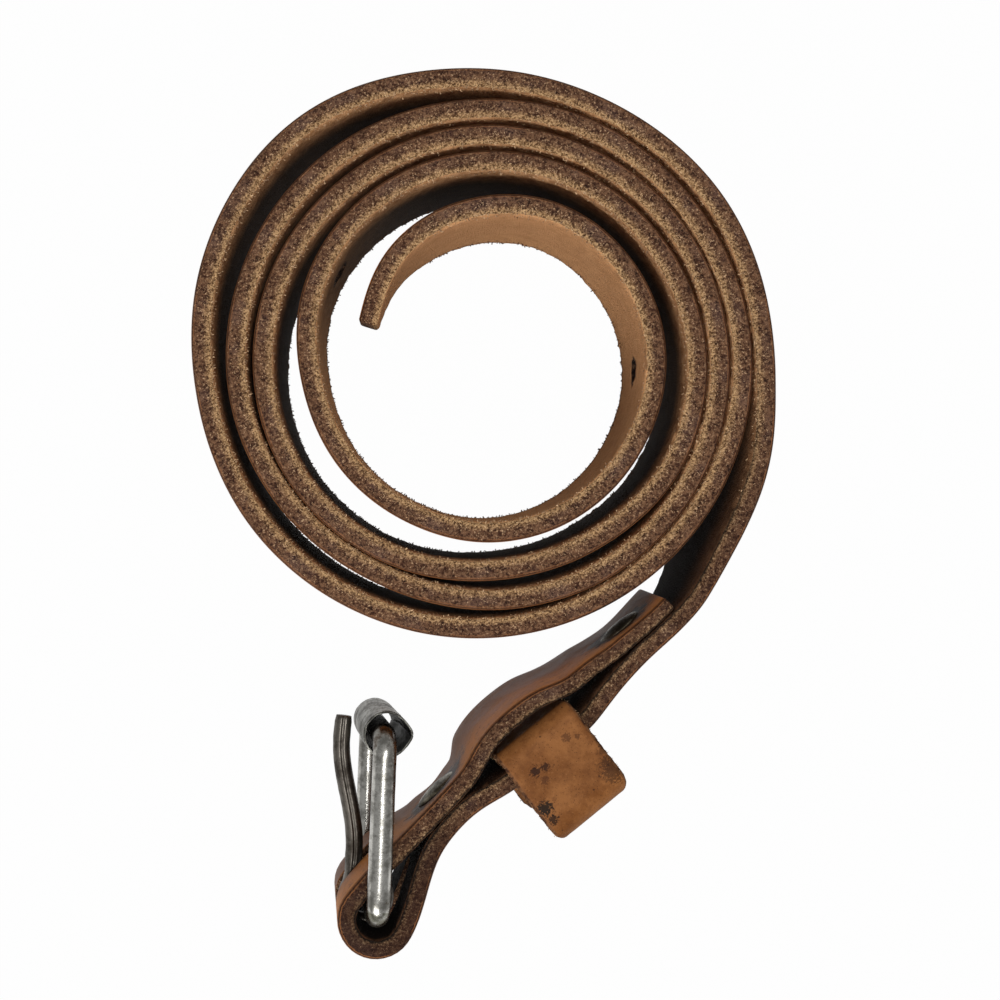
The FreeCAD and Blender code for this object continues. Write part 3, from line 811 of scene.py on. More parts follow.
# %% Finish of the strap
def leather_strap(finish, at, edge, nap, waxed):
    is_flesh = finish.ease(at.across, -0.90, -0.99)
    is_grain = finish.ease(at.across + (at.fleck - 0.5) * 0.16, 0.78, 0.92)
    raw = finish.mix(edge, nap, is_flesh)
    # the tongue holes are painted dark: painted shade inside them and a darker ring about them
    holes_painted_dark = [(hole_place(hole), HOLE_DARK_REACH, tone(14, 7, 5), 0.95) for hole in TONGUE_HOLES]
    raw = finish.patched(raw, holes_painted_dark, at.patch * 0.4 + 0.3)
    finish.set("Base Color", finish.mix(raw, waxed, is_grain))
    finish.set("Roughness", 0.92 - is_grain * 0.40 + is_grain * finish.ease(at.blot, 0.3, 0.7) * 0.1)
    rough_height = at.patch * 0.4 + at.fleck * 0.6 + at.fibre * 0.9
    smooth_height = finish.ease(at.pore, 0.05, 0.3) * 0.12 + at.patch * 0.15
    finish.bump(rough_height * (1 - is_grain) + smooth_height * is_grain, 0.45)
    return finish.material


strap_finish = leather_strap(leather, marks, edge_colour, nap_colour, grain_colour)
strap = show("strap_leather", strap_cut, strap_finish)
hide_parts("strap")
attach(strap, "strap_body")
print("strap:", len(strap_cut.vertices), "points")

# %% [markdown]
# ## Loose fibre
# Flesh leather frays at its cut edges: thousands of short hairs stand along the flesh corner and lie
# over the pale part of the edge. Geometry Nodes scatter them. None grows on the end that leans up
# to the buckle, where the keeper slides along the leather. A class like the one for finishes gives
# such a tree its named inputs, its last nodes, and its result as a plain mesh.

# %% The class for Geometry Nodes trees
class Growth(Tree):
    """A Geometry Nodes tree with named inputs, for a modifier."""

    def __init__(self, name):
        group = bpy.data.node_groups.new(name, "GeometryNodeTree")
        super().__init__(group)
        group.interface.new_socket("Geometry", in_out="INPUT", socket_type="NodeSocketGeometry")
        group.interface.new_socket("Geometry", in_out="OUTPUT", socket_type="NodeSocketGeometry")
        self.entry = group.nodes.new("NodeGroupInput")
        self.exit = group.nodes.new("NodeGroupOutput")
        self.keys = {}

    def input(self, name, kind, default=None):
        socket = self.nodes.interface.new_socket(name, in_out="INPUT", socket_type="NodeSocket" + kind)
        if default is not None:
            socket.default_value = default
        self.keys[name] = socket.identifier
        return Value(self, self.entry.outputs[name])

    def start(self):
        return Value(self, self.entry.outputs["Geometry"])

    def end(self, geometry, material):
        real = self.add("GeometryNodeRealizeInstances", {}, {"Geometry": geometry})
        dressed = self.add("GeometryNodeSetMaterial", {}, {"Geometry": real, "Material": material})
        self.nodes.links.new(dressed.socket, self.exit.inputs["Geometry"])

    def grown(self, name, host, **values):
        """The tree's result on a host mesh, as a plain mesh of its own."""
        carrier = show(name, host)
        grower = carrier.modifiers.new(name, "NODES")
        grower.node_group = self.nodes
        for key, value in values.items():
            grower[self.keys[key.replace("_", " ")]] = value
        mesh = as_mesh(carrier)
        carrier.modifiers.remove(grower)
        bpy.data.objects.remove(carrier)
        return mesh

    def stored(self, name):
        """Numbers kept on the host's points under a name."""
        return self.add("GeometryNodeInputNamedAttribute", {"data_type": "FLOAT_VECTOR"}, {"Name": name})

    def part(self, value, axis):
        return self.add("ShaderNodeSeparateXYZ", {}, {0: value}, out=axis)


print("a Growth knows:", [name for name, made in vars(Growth).items() if callable(made)])

# %% [markdown]
# ## Hairs
# A hair is a short bent curve with a ring of three points swept along it. It is drawn once, and an
# instance of it is set on each point of the strap's skin, turned a random way that leans out of the
# leather. The points lie more densely where the skin's own number says flesh corner. The tree's
# inputs set how many hairs there are, how long and how thick.

# %% A tree that grows hairs, and its two pieces on the strap
def fuzz_tree():
    tree = Growth("fuzz")
    count = tree.input("Hairs per square metre", "Float", 1e6)
    length = tree.input("Hair length", "Float", 0.6 * MM)
    thickness = tree.input("Hair radius", "Float", 0.03 * MM)
    stand = tree.input("Standing up", "Float", 0.5)
    low = tree.input("From across", "Float", -1.0)
    high = tree.input("To across", "Float", 0.0)
    seed = tree.input("Seed", "Int", 1)
    material = tree.input("Material", "Material")
    lay = tree.stored("lay")
    run = tree.part(lay, 0)
    across = tree.part(lay, 1)
    height = tree.part(tree.stored("rise"), 0)
    middle = (low + high) * 0.5
    reach = (high - low) * 0.5
    near_edge = tree.ease(abs(height - 0.5), 0.465, 0.49)
    in_roll = tree.ease(run, LEAN_END * MM, LEAN_START * MM)
    share = tree.ease(abs(across - middle) / reach, 1.0, 0.2) * near_edge * in_roll
    scatter = {"Mesh": tree.start(), "Density": count * share, "Seed": seed}
    points = tree.add("GeometryNodeDistributePointsOnFaces", {}, scatter)
    normal = Value(tree, points.socket.node.outputs["Normal"])
    stray = tree.add("FunctionNodeRandomValue", {"data_type": "FLOAT_VECTOR"},
                     {"Min": (-1.0, -1.0, -1.0), "Max": (1.0, 1.0, 1.0), "Seed": seed})
    lifted = tree.add("ShaderNodeVectorMath", {"operation": "SCALE"}, {0: normal, "Scale": stand})
    way = tree.add("ShaderNodeVectorMath", {"operation": "ADD"}, {0: lifted, 1: stray})
    turn = tree.add("FunctionNodeAlignRotationToVector", {"axis": "Z"}, {"Vector": way})
    hair = tree.add("GeometryNodeCurveQuadraticBezier", {}, {
        "Resolution": 2, "Start": (0.0, 0.0, -0.15), "Middle": (0.05, 0.0, 0.55),
        "End": (0.45, 0.1, 0.95)})
    ring = tree.add("GeometryNodeCurvePrimitiveCircle", {},
                    {"Resolution": 3, "Radius": thickness / length})
    swept = tree.add("GeometryNodeCurveToMesh", {},
                     {"Curve": hair, "Profile Curve": ring, "Fill Caps": True})
    size = tree.add("FunctionNodeRandomValue", {"data_type": "FLOAT"},
                    {2: 0.5, 3: 1.5, "Seed": seed}, out=1)
    hairs = tree.add("GeometryNodeInstanceOnPoints", {}, {
        "Points": points, "Instance": swept, "Rotation": turn, "Scale": size * length})
    tree.end(hairs, material)
    return tree


def fibre_finish(name, low, high, foot):
    """Fibre between two tones, and a darker third one near the ground as painted shade."""
    finish = Finish(name, Roughness=0.9)
    up = finish.add("ShaderNodeSeparateXYZ", {}, {0: finish.place()}, out=2)
    colour = finish.mix(low, high, finish.ease(finish.noise(0.9, 3), 0.35, 0.65))
    # painted shade: the fibre darkens toward the ground
    finish.set("Base Color", finish.mix(foot, colour, finish.ease(up, 6 * MM, 20 * MM)))
    return finish.material


FUZZ = fuzz_tree()
pale_fibre = fibre_finish("pale fibre", tone(112, 82, 56), tone(194, 160, 122), tone(78, 50, 30))
# Hairs per square metre, length and radius, how much they stand up, from and to across, and seed
FUZZ_PIECES = {
    "corner_fuzz": (3.9e6, 0.25, 0.085, 0.5, -1.10, -0.70, 3),
    "edge_fuzz": (2.4e6, 0.24, 0.040, 0.35, -0.98, 0.40, 5),
}


def grow_fuzz(name, host, settings, body, material):
    count, length, radius, stand, low, high, seed = settings
    mesh = FUZZ.grown(name, host.copy(), Hairs_per_square_metre=count, Hair_length=length * MM,
                      Hair_radius=radius * MM, Standing_up=stand, From_across=low, To_across=high,
                      Seed=seed, Material=material)
    piece = show(name, mesh)
    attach(piece, body)
    print(name, len(mesh.polygons), "faces")


for fuzz_name, fuzz_settings in FUZZ_PIECES.items():
    grow_fuzz(fuzz_name, strap_cut, fuzz_settings, "strap_body", pale_fibre)

# %% [markdown]
# ## Places on the buckle end
# The buckle, the keeper and the rivets are each easiest to draw about a place of their own, in
# millimetres. A matrix for each place then carries the drawn mesh to where it lies on the object.

# %% Matrices for the buckle, the keeper and the rivets
MIDDLE = STRAP_WIDTH / 2
BAR_SPACING = 28.0
WIRE_RADIUS = 1.9
FRAME_HALF = (STRAP_WIDTH + 2 * 0.8 + 2 * WIRE_RADIUS) / 2
BUCKLE_REST = 45.6
BUCKLE_TILT = 1.8
BUCKLE_TILT_TOWARD = -27.0
BAR_SAG = (-0.6, 0.55)
KEEPER_AT = 37.0
RIVET_SINK = 0.4


def shifted(*spot):
    return Matrix.Translation(Vector(spot))


def spun(degrees, axis="Z"):
    return Matrix.Rotation(math.radians(degrees), 4, axis)


def end_place():
    place = np.eye(4)
    for column, way in enumerate((HEADING, ASIDE, UP)):
        place[:3, column] = END_TURN @ way * MM
    place[:3, 3] = in_row((0, 0, 0))
    return Matrix(place)


def rivet_place(along):
    """Where a rivet's grain-side cap sits, with the third axis through both layers."""
    spot, flesh_side = main_spot(along)
    shift = edge_shift(spot[0])
    lean = math.degrees(math.atan2(shift, STRAP_WIDTH))
    way = spun(lean, Vector(np.cross(UP, flesh_side))) @ Vector(flesh_side)
    start = Vector(spot) - Vector((0, shift * (1 - RIVET_ACROSS / STRAP_WIDTH), 0))
    start += Vector((0, 0, RIVET_ACROSS)) - way * (FOLD_THICKNESS / 2 - RIVET_SINK)
    return END_PLACE @ shifted(*start) @ way.to_track_quat("Z", "Y").to_matrix().to_4x4()


END_PLACE = end_place()
tilt_heading = spun(BUCKLE_TILT_TOWARD) @ Vector((1, 0, 0))
BUCKLE_PLACE = (END_PLACE @ shifted(*BAR_SAG, MIDDLE)
                @ spun(BUCKLE_TILT, Vector((0, 0, 1)).cross(tilt_heading)) @ spun(BUCKLE_REST))
keeper_spot, keeper_side = main_spot(KEEPER_AT)
KEEPER_PLACE = (END_PLACE @ shifted(*keeper_spot)
                @ spun(math.degrees(math.atan2(keeper_side[1], keeper_side[0])) - 90))


def stamped(mesh, place):
    """Stores the first and third drawn coordinate on the surface, then carries the mesh to its place."""
    spots = np.zeros(len(mesh.vertices) * 3, dtype=np.float32)
    mesh.vertices.foreach_get("co", spots)
    store(mesh, "lay", spots.reshape(-1, 3)[:, [0, 2]] * MM)
    mesh.transform(place)
    mesh.update()
    outward(mesh)
    return mesh


for joint in frame["joints"]:
    print(joint["name"], joint.get("type"))
print("buckle's bar at", [round(v / MM, 2) for v in BUCKLE_PLACE.translation])

# %% [markdown]
# ## The buckle's frame
# The frame is one round steel wire bent to a rounded rectangle, its ends butted and nickel plated.
# Geometry Nodes bend it the same way: a rectangle, its corners rounded, and a circle swept along.
# Then a slow noise moves the surface by hundredths of a millimetre, for handling marks.

# %% A tree that bends a wire frame
BEND_RADIUS = 3.2
WIRE_WEAR = 0.08


def wire_tree():
    tree = Growth("bent wire")
    length = tree.input("Bar spacing", "Float", BAR_SPACING)
    height = tree.input("Height", "Float", 2 * FRAME_HALF)
    bend = tree.input("Bend radius", "Float", BEND_RADIUS)
    radius = tree.input("Wire radius", "Float", WIRE_RADIUS)
    wear = tree.input("Wear", "Float", WIRE_WEAR)
    material = tree.input("Material", "Material")
    corner = tree.add("GeometryNodeCurvePrimitiveQuadrilateral", {"mode": "RECTANGLE"},
                      {"Width": length, "Height": height})
    bent = tree.add("GeometryNodeFilletCurve", {"mode": "POLY"},
                    {"Curve": corner, "Count": 12, "Radius": bend})
    even = tree.add("GeometryNodeResampleCurve", {"mode": "LENGTH"}, {"Curve": bent, "Length": 0.6})
    ring = tree.add("GeometryNodeCurvePrimitiveCircle", {}, {"Resolution": 28, "Radius": radius})
    wire = tree.add("GeometryNodeCurveToMesh", {}, {"Curve": even, "Profile Curve": ring})
    smooth = tree.add("GeometryNodeSetShadeSmooth", {}, {"Geometry": wire, "Shade Smooth": True})
    mark = tree.add("ShaderNodeTexNoise", {}, {"Scale": 0.35, "Detail": 2.0})
    normal = tree.add("GeometryNodeInputNormal")
    push = tree.add("ShaderNodeVectorMath", {"operation": "SCALE"},
                    {0: normal, "Scale": (mark - 0.5) * wear})
    worn = tree.add("GeometryNodeSetPosition", {}, {"Geometry": smooth, "Offset": push})
    tree.end(worn, material)
    return tree


print("the frame is", round(2 * (FRAME_HALF - WIRE_RADIUS), 1), "mm high inside")

# %% [markdown]
# ## Worn plating
# The frame, the roller, the tongue and the rivets are plated steel. Plating goes dull in patches,
# takes fine scratches and tarnishes brown where it is thin. One function makes all these finishes
# from three tones each: bright, dull and tarnished.

# %% Finish of the metal, and the frame
def worn_plate(name, light, dark, tarnish, low_rough, high_rough, spots=(), painted_shade_layer=""):
    """Plated steel with dull patches, scratches and tarnish, and stains about given spots.

    The last argument names a stored layer; where its first number is 1 the steel gets painted shade."""
    finish = Finish(name, Metallic=1.0)
    patch = finish.noise(3.2, 4, 0.6)
    fleck = finish.noise(0.5, 3, 0.7)
    scratch = finish.noise(0.30, 2, 0.5, squash=(1.0, 1.0, 0.12))
    colour = finish.mix(light, dark, finish.ease(patch + fleck * 0.35 + scratch * 0.2, 0.62, 0.92))
    patched = finish.ease(patch * 0.7 + fleck * 0.6, 0.77, 0.91)
    colour = finish.mix(colour, tarnish, patched)
    colour = finish.patched(colour, spots, patch)
    metal = 1 - patched * 0.6
    # painted shade: where the stored layer says so, the steel is made dark and dull
    if painted_shade_layer:
        painted_shade = finish.lay(0, painted_shade_layer)
        colour = finish.mix(colour, tone(26, 22, 18), painted_shade * 0.92)
        metal = metal * (1 - painted_shade * 0.8)
    finish.set("Base Color", colour)
    finish.set("Metallic", metal)
    dull = finish.ease(patch + scratch * 0.5, 0.5, 1.0)
    finish.set("Roughness", low_rough + dull * (high_rough - low_rough))
    finish.bump(scratch * 0.6 + fleck * 0.4, 0.022, 0.5)
    return finish.material


FRAME_STAINS = [
    (BUCKLE_PLACE @ Vector((BAR_SPACING, 0, FRAME_HALF - 3.0)), 4.6, tone(58, 44, 30), 0.85),
    (BUCKLE_PLACE @ Vector((0, 0, FRAME_HALF - 3.2)), 4.0, tone(74, 72, 44), 0.75),
]
nickel = worn_plate("worn nickel", tone(190, 188, 182), tone(122, 120, 114), tone(58, 48, 30),
                    0.20, 0.36, FRAME_STAINS)
frame_wire = wire_tree().grown("bent wire", bpy.data.meshes.new("none"), Bar_spacing=BAR_SPACING,
                               Height=2 * FRAME_HALF, Bend_radius=BEND_RADIUS,
                               Wire_radius=WIRE_RADIUS, Wear=WIRE_WEAR, Material=nickel)
upright_plane = shifted(BAR_SPACING / 2, 0, 0) @ spun(90, "X")
frame_wire.transform(upright_plane)
buckle_frame = show("buckle_wire_frame", stamped(frame_wire, BUCKLE_PLACE))
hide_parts("buckle_frame")
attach(buckle_frame, "frame_body")
print("frame:", len(frame_wire.polygons), "faces")

# %% [markdown]
# ## The roller
# A buckle's roller is thin sheet steel wrapped round the bar until its two edges meet, loose enough
# to turn. Cheap ones don't close to a true circle: the edges swell to a lip. The loop is drawn as
# a circle that swells toward the seam, with an inner wall, and stretched along the bar. The rim is
# uneven where it was sheared, and the wall thickens inward toward the lower rim. The bore is
# painted dark and dull as painted shade, so the mesh stores which of its points are there.

# %% A wrapped sheet
ROLLER_RADIUS = 3.85
ROLLER_WALL = 0.34
ROLLER_SAG = 0.5
ROLLER_HALF = 12.0
SEAM_AT = -90.0
SEAM_SWELL = 0.55
SWELL_DEGREES = 21.0
ROLLER_DENT = 0.10
PINCH = 0.98
PINCH_REACH = 3.6
RIM_BEVEL = 0.12
RIM_RAGGED = 0.44


def roller_loop():
    """Outer wall from one side of the seam to the other, then the inner wall back."""
    outer = []
    inner = []
    for turned in np.linspace(1.0, 359.0, 72):
        from_seam = min(turned, 360 - turned)
        swell = SEAM_SWELL * math.exp(-(from_seam / SWELL_DEGREES) ** 2)
        radius = ROLLER_RADIUS - ROLLER_DENT + swell
        angle = math.radians(SEAM_AT + turned)
        outer.append(on_circle(radius, angle))
        inner.append(on_circle(radius - ROLLER_WALL, angle))
    return outer + inner[::-1]


def roller_mesh():
    loop = roller_loop()
    stops = np.linspace(-ROLLER_HALF + 5 * RIM_BEVEL, ROLLER_HALF - 5 * RIM_BEVEL, 26)
    stops = np.concatenate([[-ROLLER_HALF, -ROLLER_HALF + RIM_BEVEL], stops,
                            [ROLLER_HALF - RIM_BEVEL, ROLLER_HALF]])
    points = []
    inside = []
    for stop in stops:
        at_rim = abs(stop) > ROLLER_HALF - 2 * RIM_BEVEL
        pinch = PINCH * math.exp(-((stop + ROLLER_HALF) / PINCH_REACH) ** 2)
        for number, (x, y) in enumerate(loop):
            in_bore = number >= len(loop) / 2
            dent = noise.noise(Vector((x * 0.35, y * 0.35, stop * 0.25))) * ROLLER_DENT
            if in_bore:
                dent -= pinch
            ragged = noise.noise(Vector((x * 1.5, y * 1.5, stop))) * RIM_RAGGED if at_rim else 0
            reach = 1 + dent / ROLLER_RADIUS
            points.append((BAR_SPACING + x * reach, -ROLLER_SAG + y * reach, stop + ragged))
            inside.append((1.0 if in_bore and not at_rim else 0.0, 0))
    mesh = skin("roller", points, len(stops), len(loop))
    store(mesh, "bore", inside)
    return mesh


# the roller's bore gets painted shade, dark and dull
roller_steel = worn_plate("roller steel", tone(134, 133, 126), tone(86, 84, 79), tone(44, 38, 30),
                          0.4, 0.62, painted_shade_layer="bore")
roller_sheet = stamped(roller_mesh(), BUCKLE_PLACE)
roller = show("buckle_roller_sheet", roller_sheet, roller_steel)
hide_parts("buckle_roller")
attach(roller, "roller_body")
print("roller:", len(roller_sheet.polygons), "faces")

# %% [markdown]
# ## The tongue
# The tongue is a strip of steel folded lengthwise, so that its two edges lie side by side on top
# with a groove between them. One end is curled round the bar as an eye. Here a section with two
# humps follows the curl and then the slightly bent shank, and grows flat at the eye.

# %% A grooved bar with a curled eye
TONGUE_RADIUS = 1.45
EYE_RADIUS = 3.75
EYE_WALL = 0.95
EYE_SAG = 0.8
EYE_HALF = 1.8
TONGUE_LINE = [(3.0, 3.5), (5.5, 3.2), (8.3, 3.1), (15.0, 4.1), (21.0, 5.5), (24.5, 5.95), (29.7, 5.75)]
SHANK_GROWS = 5.0
GROOVE_DEPTH = 0.24
GROOVE_REACH = 0.20


def tongue_path():
    """Points of the curl and the shank in the buckle's plane, and how much each is shank."""
    places = []
    for degrees in np.linspace(366, 58, 44):
        places.append((*on_circle(EYE_RADIUS, math.radians(degrees), (0.0, EYE_SAG)), 0.0))
    for x, y in smooth_line(TONGUE_LINE, 0.5)[1:]:
        places.append((x, y, min(0.3 + (x - TONGUE_LINE[0][0]) / SHANK_GROWS, 1.0)))
    return places


def tongue_loop(shank, half_wide, half_thick, count=56):
    """Section as (across the bend, along the bar), with a groove along one side of the shank."""
    loop = []
    for number in range(count):
        angle = 2 * math.pi * number / count
        across = half_thick * math.sin(angle)
        along = half_wide * math.cos(angle)
        if along > 0:
            along -= shank * GROOVE_DEPTH * half_wide * math.exp(-(across / GROOVE_REACH) ** 2)
        loop.append((across, along))
    return loop


def tongue_mesh():
    places = tongue_path()
    points = []
    for number, (x, y, shank) in enumerate(places):
        before = places[max(number - 1, 0)]
        after = places[min(number + 1, len(places) - 1)]
        way = Vector((after[0] - before[0], after[1] - before[1], 0)).normalized()
        ending = 0.88 + 0.12 * min((len(places) - 1 - number) / 2, 1.0)
        half_wide = (EYE_HALF + (TONGUE_RADIUS - EYE_HALF) * shank) * ending
        half_thick = (EYE_WALL + (TONGUE_RADIUS - EYE_WALL) * shank) * ending
        for across, along in tongue_loop(shank, half_wide, half_thick):
            rough = 1 + 0.03 * noise.noise(Vector((x * 0.7, y * 0.7, along)))
            spot = Vector((x, y, 0)) + Vector((-way.y, way.x, 0)) * across * rough
            points.append((spot.x, spot.y, along * rough))
    return skin("tongue", points, len(places), len(points) // len(places))


tongue_steel = worn_plate("tongue steel", tone(104, 99, 92), tone(60, 55, 49), tone(36, 30, 24),
                          0.36, 0.55)
tongue_bar = stamped(tongue_mesh(), BUCKLE_PLACE)
tongue = show("buckle_tongue_bar", tongue_bar, tongue_steel)
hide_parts("buckle_tongue")
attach(tongue, "tongue_body")
print("tongue:", len(tongue_bar.polygons), "faces")

# %% [markdown]
# ## The keeper
# The keeper is a strip of thinner leather bent round the strap to a loop. Its two ends are shaved,
# lapped between the layers and held by a staple. The far side stands away from the strap, because
# the strap's free end is tucked in there when the leash is worn. The strip is swept along its own
# middle line, which is drawn from straight runs with rounded corners.

# %% A strip bent to a loop
KEEPER_HALF = 7.4
KEEPER_THICK = 2.0
KEEPER_PLY = 1.35
KEEPER_PLAY = 0.45
KEEPER_REACH = 10.9
LAP_INSIDE = FOLD_THICKNESS / 2 + KEEPER_PLAY
LAP_REACH = 7.0
LAP_CORNER = 1.7
FAR_CORNER = 3.7
FAR_ROUND = 2.2
FAR_NARROW = 1.3
PLY_UNTIL = 16.0
PLY_FADE = 6.0
STRIP_STEP = 0.55
STRIP_ROUND = 0.7
STRIP_FLESH_ROUND = 0.25
STRIP_SWAY = 0.16
STRIP_SIDE = 1.2


def rounded(corners, radii, step):
    """Evenly spaced points of a line of straight runs with rounded corners."""
    line = [Vector(corners[0])]
    for number, radius in enumerate(radii, 1):
        corner = Vector(corners[number])
        back = (Vector(corners[number - 1]) - corner).normalized()
        on = (Vector(corners[number + 1]) - corner).normalized()
        middle = corner + (back + on) * radius
        start = corner + back * radius - middle
        end = corner + on * radius - middle
        for turn in np.linspace(0, math.pi / 2, 9):
            line.append(middle + start * math.cos(turn) + end * math.sin(turn))
    line.append(Vector(corners[-1]))
    line = np.array([tuple(point) for point in line])
    length = run_along(line)[-1]
    even = np.linspace(0, length, int(length / step) + 1)
    return line_at(line, even), even


def strip_loop(half_wide, half_thick):
    """Section of the strip as (across its width, through its thickness)."""
    grain, flesh = STRIP_ROUND, STRIP_FLESH_ROUND
    above = half_thick - grain
    below = -half_thick + flesh
    loop = [(across, half_thick) for across in np.linspace(half_wide - grain, -half_wide + grain, 15)]
    loop += arc((-half_wide + grain, above), grain, 90, 180, 3)[1:]
    loop += arc((-half_wide + flesh, below), flesh, 180, 270, 2)
    inner = np.linspace(-half_wide + flesh, half_wide - flesh, 15)[1:-1]
    loop += [(across, -half_thick) for across in inner]
    loop += arc((half_wide - flesh, below), flesh, 270, 360, 2)
    loop += arc((half_wide - grain, above), grain, 0, 90, 3)[:-1]
    return loop


def keeper_mesh():
    low = -KEEPER_PLAY - KEEPER_THICK / 2
    high = STRAP_WIDTH + KEEPER_PLAY + KEEPER_THICK / 2
    far = -KEEPER_REACH - KEEPER_THICK / 2
    inner_ply = LAP_INSIDE + KEEPER_PLY / 2
    outer_ply = LAP_INSIDE + KEEPER_PLY * 1.5
    corners = [(inner_ply, MIDDLE + LAP_REACH), (inner_ply, low), (far, low), (far, high),
               (outer_ply, high), (outer_ply, MIDDLE - LAP_REACH)]
    line, runs = rounded(corners, [LAP_CORNER, FAR_CORNER, FAR_CORNER, LAP_CORNER], STRIP_STEP)
    points = []
    lay = []
    for number, (aside, up) in enumerate(line):
        way = line[min(number + 1, len(line) - 1)] - line[max(number - 1, 0)]
        way = way / np.linalg.norm(way)
        out = Vector((-way[1], way[0]))
        from_end = min(runs[number], runs[-1] - runs[number])
        full = min(max((from_end - PLY_UNTIL) / PLY_FADE, 0), 1)
        half_thick = (KEEPER_PLY + (KEEPER_THICK - KEEPER_PLY) * full) / 2
        sway = STRIP_SWAY * noise.noise(Vector((runs[number] * 0.14, 3, 1)))
        bent = min(max((far + FAR_ROUND - aside) / FAR_ROUND, 0), 1)
        narrow = FAR_NARROW * (1 - math.sqrt(1 - bent * bent))
        for across, through in strip_loop(KEEPER_HALF - narrow, half_thick):
            at_side = max(abs(across) - KEEPER_HALF + narrow + STRIP_SIDE, 0) / STRIP_SIDE
            fine = noise.noise(Vector((across * 0.7, runs[number] * 0.8, through)))
            crumb = noise.noise(Vector((across * 2.1, runs[number] * 2.3, through * 2)))
            curl = through + 0.03 * fine - 0.03 * (abs(across) / KEEPER_HALF) ** 4
            wide = across + sway + at_side * (0.13 * fine + 0.10 * crumb) * (1 if across > 0 else -1)
            points.append((wide, aside + out.x * curl, up + out.y * curl))
            lay.append((runs[number] * MM, through / half_thick))
    return skin("keeper", points, len(line), len(points) // len(line), lay)


keeper_skin = keeper_mesh()
keeper_skin.transform(KEEPER_PLACE)
outward(keeper_skin)
print("keeper:", len(keeper_skin.polygons), "faces")

# %% [markdown]
# ## The keeper's leather
# The face that is seen is smooth and tan, with pores, and handling has left marks on it. They are
# placed one by one, because on so small a piece each one is noticed.

# %% Marks and finish of the keeper
# Across, along, reach, tone and strength: scuffs, an oily spot and a darkened corner
TOP_FACE = STRAP_WIDTH + KEEPER_PLAY + KEEPER_THICK
KEEPER_MARKS = [
    (-3.6, -0.6, 1.0, tone(28, 10, 4), 0.85),
    (-2.0, -1.0, 0.8, tone(28, 10, 4), 0.8),
    (-3.4, -2.6, 0.8, tone(58, 30, 14), 0.6),
    (3.6, 0.6, 0.8, tone(52, 26, 12), 0.6),
    (5.0, -0.4, 0.5, tone(52, 26, 12), 0.6),
    (-6.05, -6.2, 1.5, tone(14, 11, 7), 0.92),
    (-6.0, -8.4, 0.9, tone(20, 9, 5), 0.85),
    (6.6, -8.0, 2.6, tone(36, 18, 8), 0.65),
    (7.0, -4.6, 0.9, tone(46, 24, 12), 0.5),
]
KEEPER_STAINS = [(KEEPER_PLACE @ Vector((across, along, TOP_FACE)), reach, patch_tone, strength)
                 for across, along, reach, patch_tone, strength in KEEPER_MARKS]
KEEPER_FUZZ = (2.4e6, 0.20, 0.035, 0.4, -0.98, 0.9, 11)


def leather_keeper():
    finish = Finish("keeper leather", Specular_IOR_Level=0.1)
    across = finish.lay(1)
    blot = finish.noise(5.0, 4, 0.6)
    patch = finish.noise(1.3, 4, 0.65)
    fleck = finish.noise(0.35, 3, 0.7)
    pore = finish.cells(0.42)
    pit = finish.cells(1.7) + (fleck - 0.5) * 0.2
    face = finish.layered(
        tone(98, 58, 25),
        (tone(122, 78, 41), finish.ease(blot, 0.35, 0.65)),
        (tone(80, 44, 18), finish.ease(patch, 0.42, 0.72) * 0.45),
        (tone(44, 24, 12), finish.ease(pore, 0.26, 0.08) * 0.55),
        (tone(40, 20, 10), finish.ease(pit, 0.12, 0.06) * 0.7),
        (tone(140, 94, 56), finish.ease(fleck, 0.56, 0.72) * 0.35))
    face = finish.patched(face, KEEPER_STAINS, patch * 0.3 + fleck * 0.9 - 0.1)
    edge = finish.mix(tone(52, 30, 19), tone(112, 76, 48), finish.ease(patch + fleck * 0.5, 0.6, 0.95))
    nap = finish.mix(tone(90, 58, 34), tone(134, 92, 58), finish.ease(patch, 0.35, 0.65))
    on_face = finish.ease(across, 0.86, 0.98)
    on_nap = finish.ease(across, -0.90, -0.99)
    finish.set("Base Color", finish.mix(finish.mix(edge, nap, on_nap), face, on_face))
    finish.set("Roughness", 0.88 - on_face * 0.28)
    height = patch * 0.35 + fleck * 0.4 + finish.ease(pore, 0.05, 0.25) * 0.25
    finish.bump(height, 0.16, 0.8)
    return finish.material


keeper = show("keeper_loop", keeper_skin, leather_keeper())
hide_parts("keeper")
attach(keeper, "keeper_body")
grow_fuzz("keeper_fuzz", keeper_skin, KEEPER_FUZZ, "keeper_body", pale_fibre)
print("marks on the keeper:", len(KEEPER_MARKS))

# %% [markdown]
# ## The staple in the keeper's lap
# The staple holds the lapped ends and is hidden between the layers. Its packed solid already has
# the right shape, so it only needs a dull wire finish.

# %% Finish of the staple
staple_node = frame["nodes"]["keeper_staple"]
staple_node.data.materials.clear()
staple_node.data.materials.append(worn_plate("staple wire", tone(170, 166, 158), tone(110, 106, 100),
                                             tone(70, 58, 46), 0.4, 0.6))
print("staple:", len(staple_node.data.polygons), "faces")

# %% [markdown]
# ## The rivets
# Two-part rivets hold the folded end. A post with a domed cap comes through from one side, and a
# second cap is pressed onto it from the other. The same turned profile serves all four caps, so
# Geometry Nodes draw it once and instance it on four points, each with its own direction.

# %% A tree that sets caps on points
CAP_RADIUS = 4.1
CAP_RIM = 0.7
CAP_DOME = 0.6
CAP_AROUND = 40


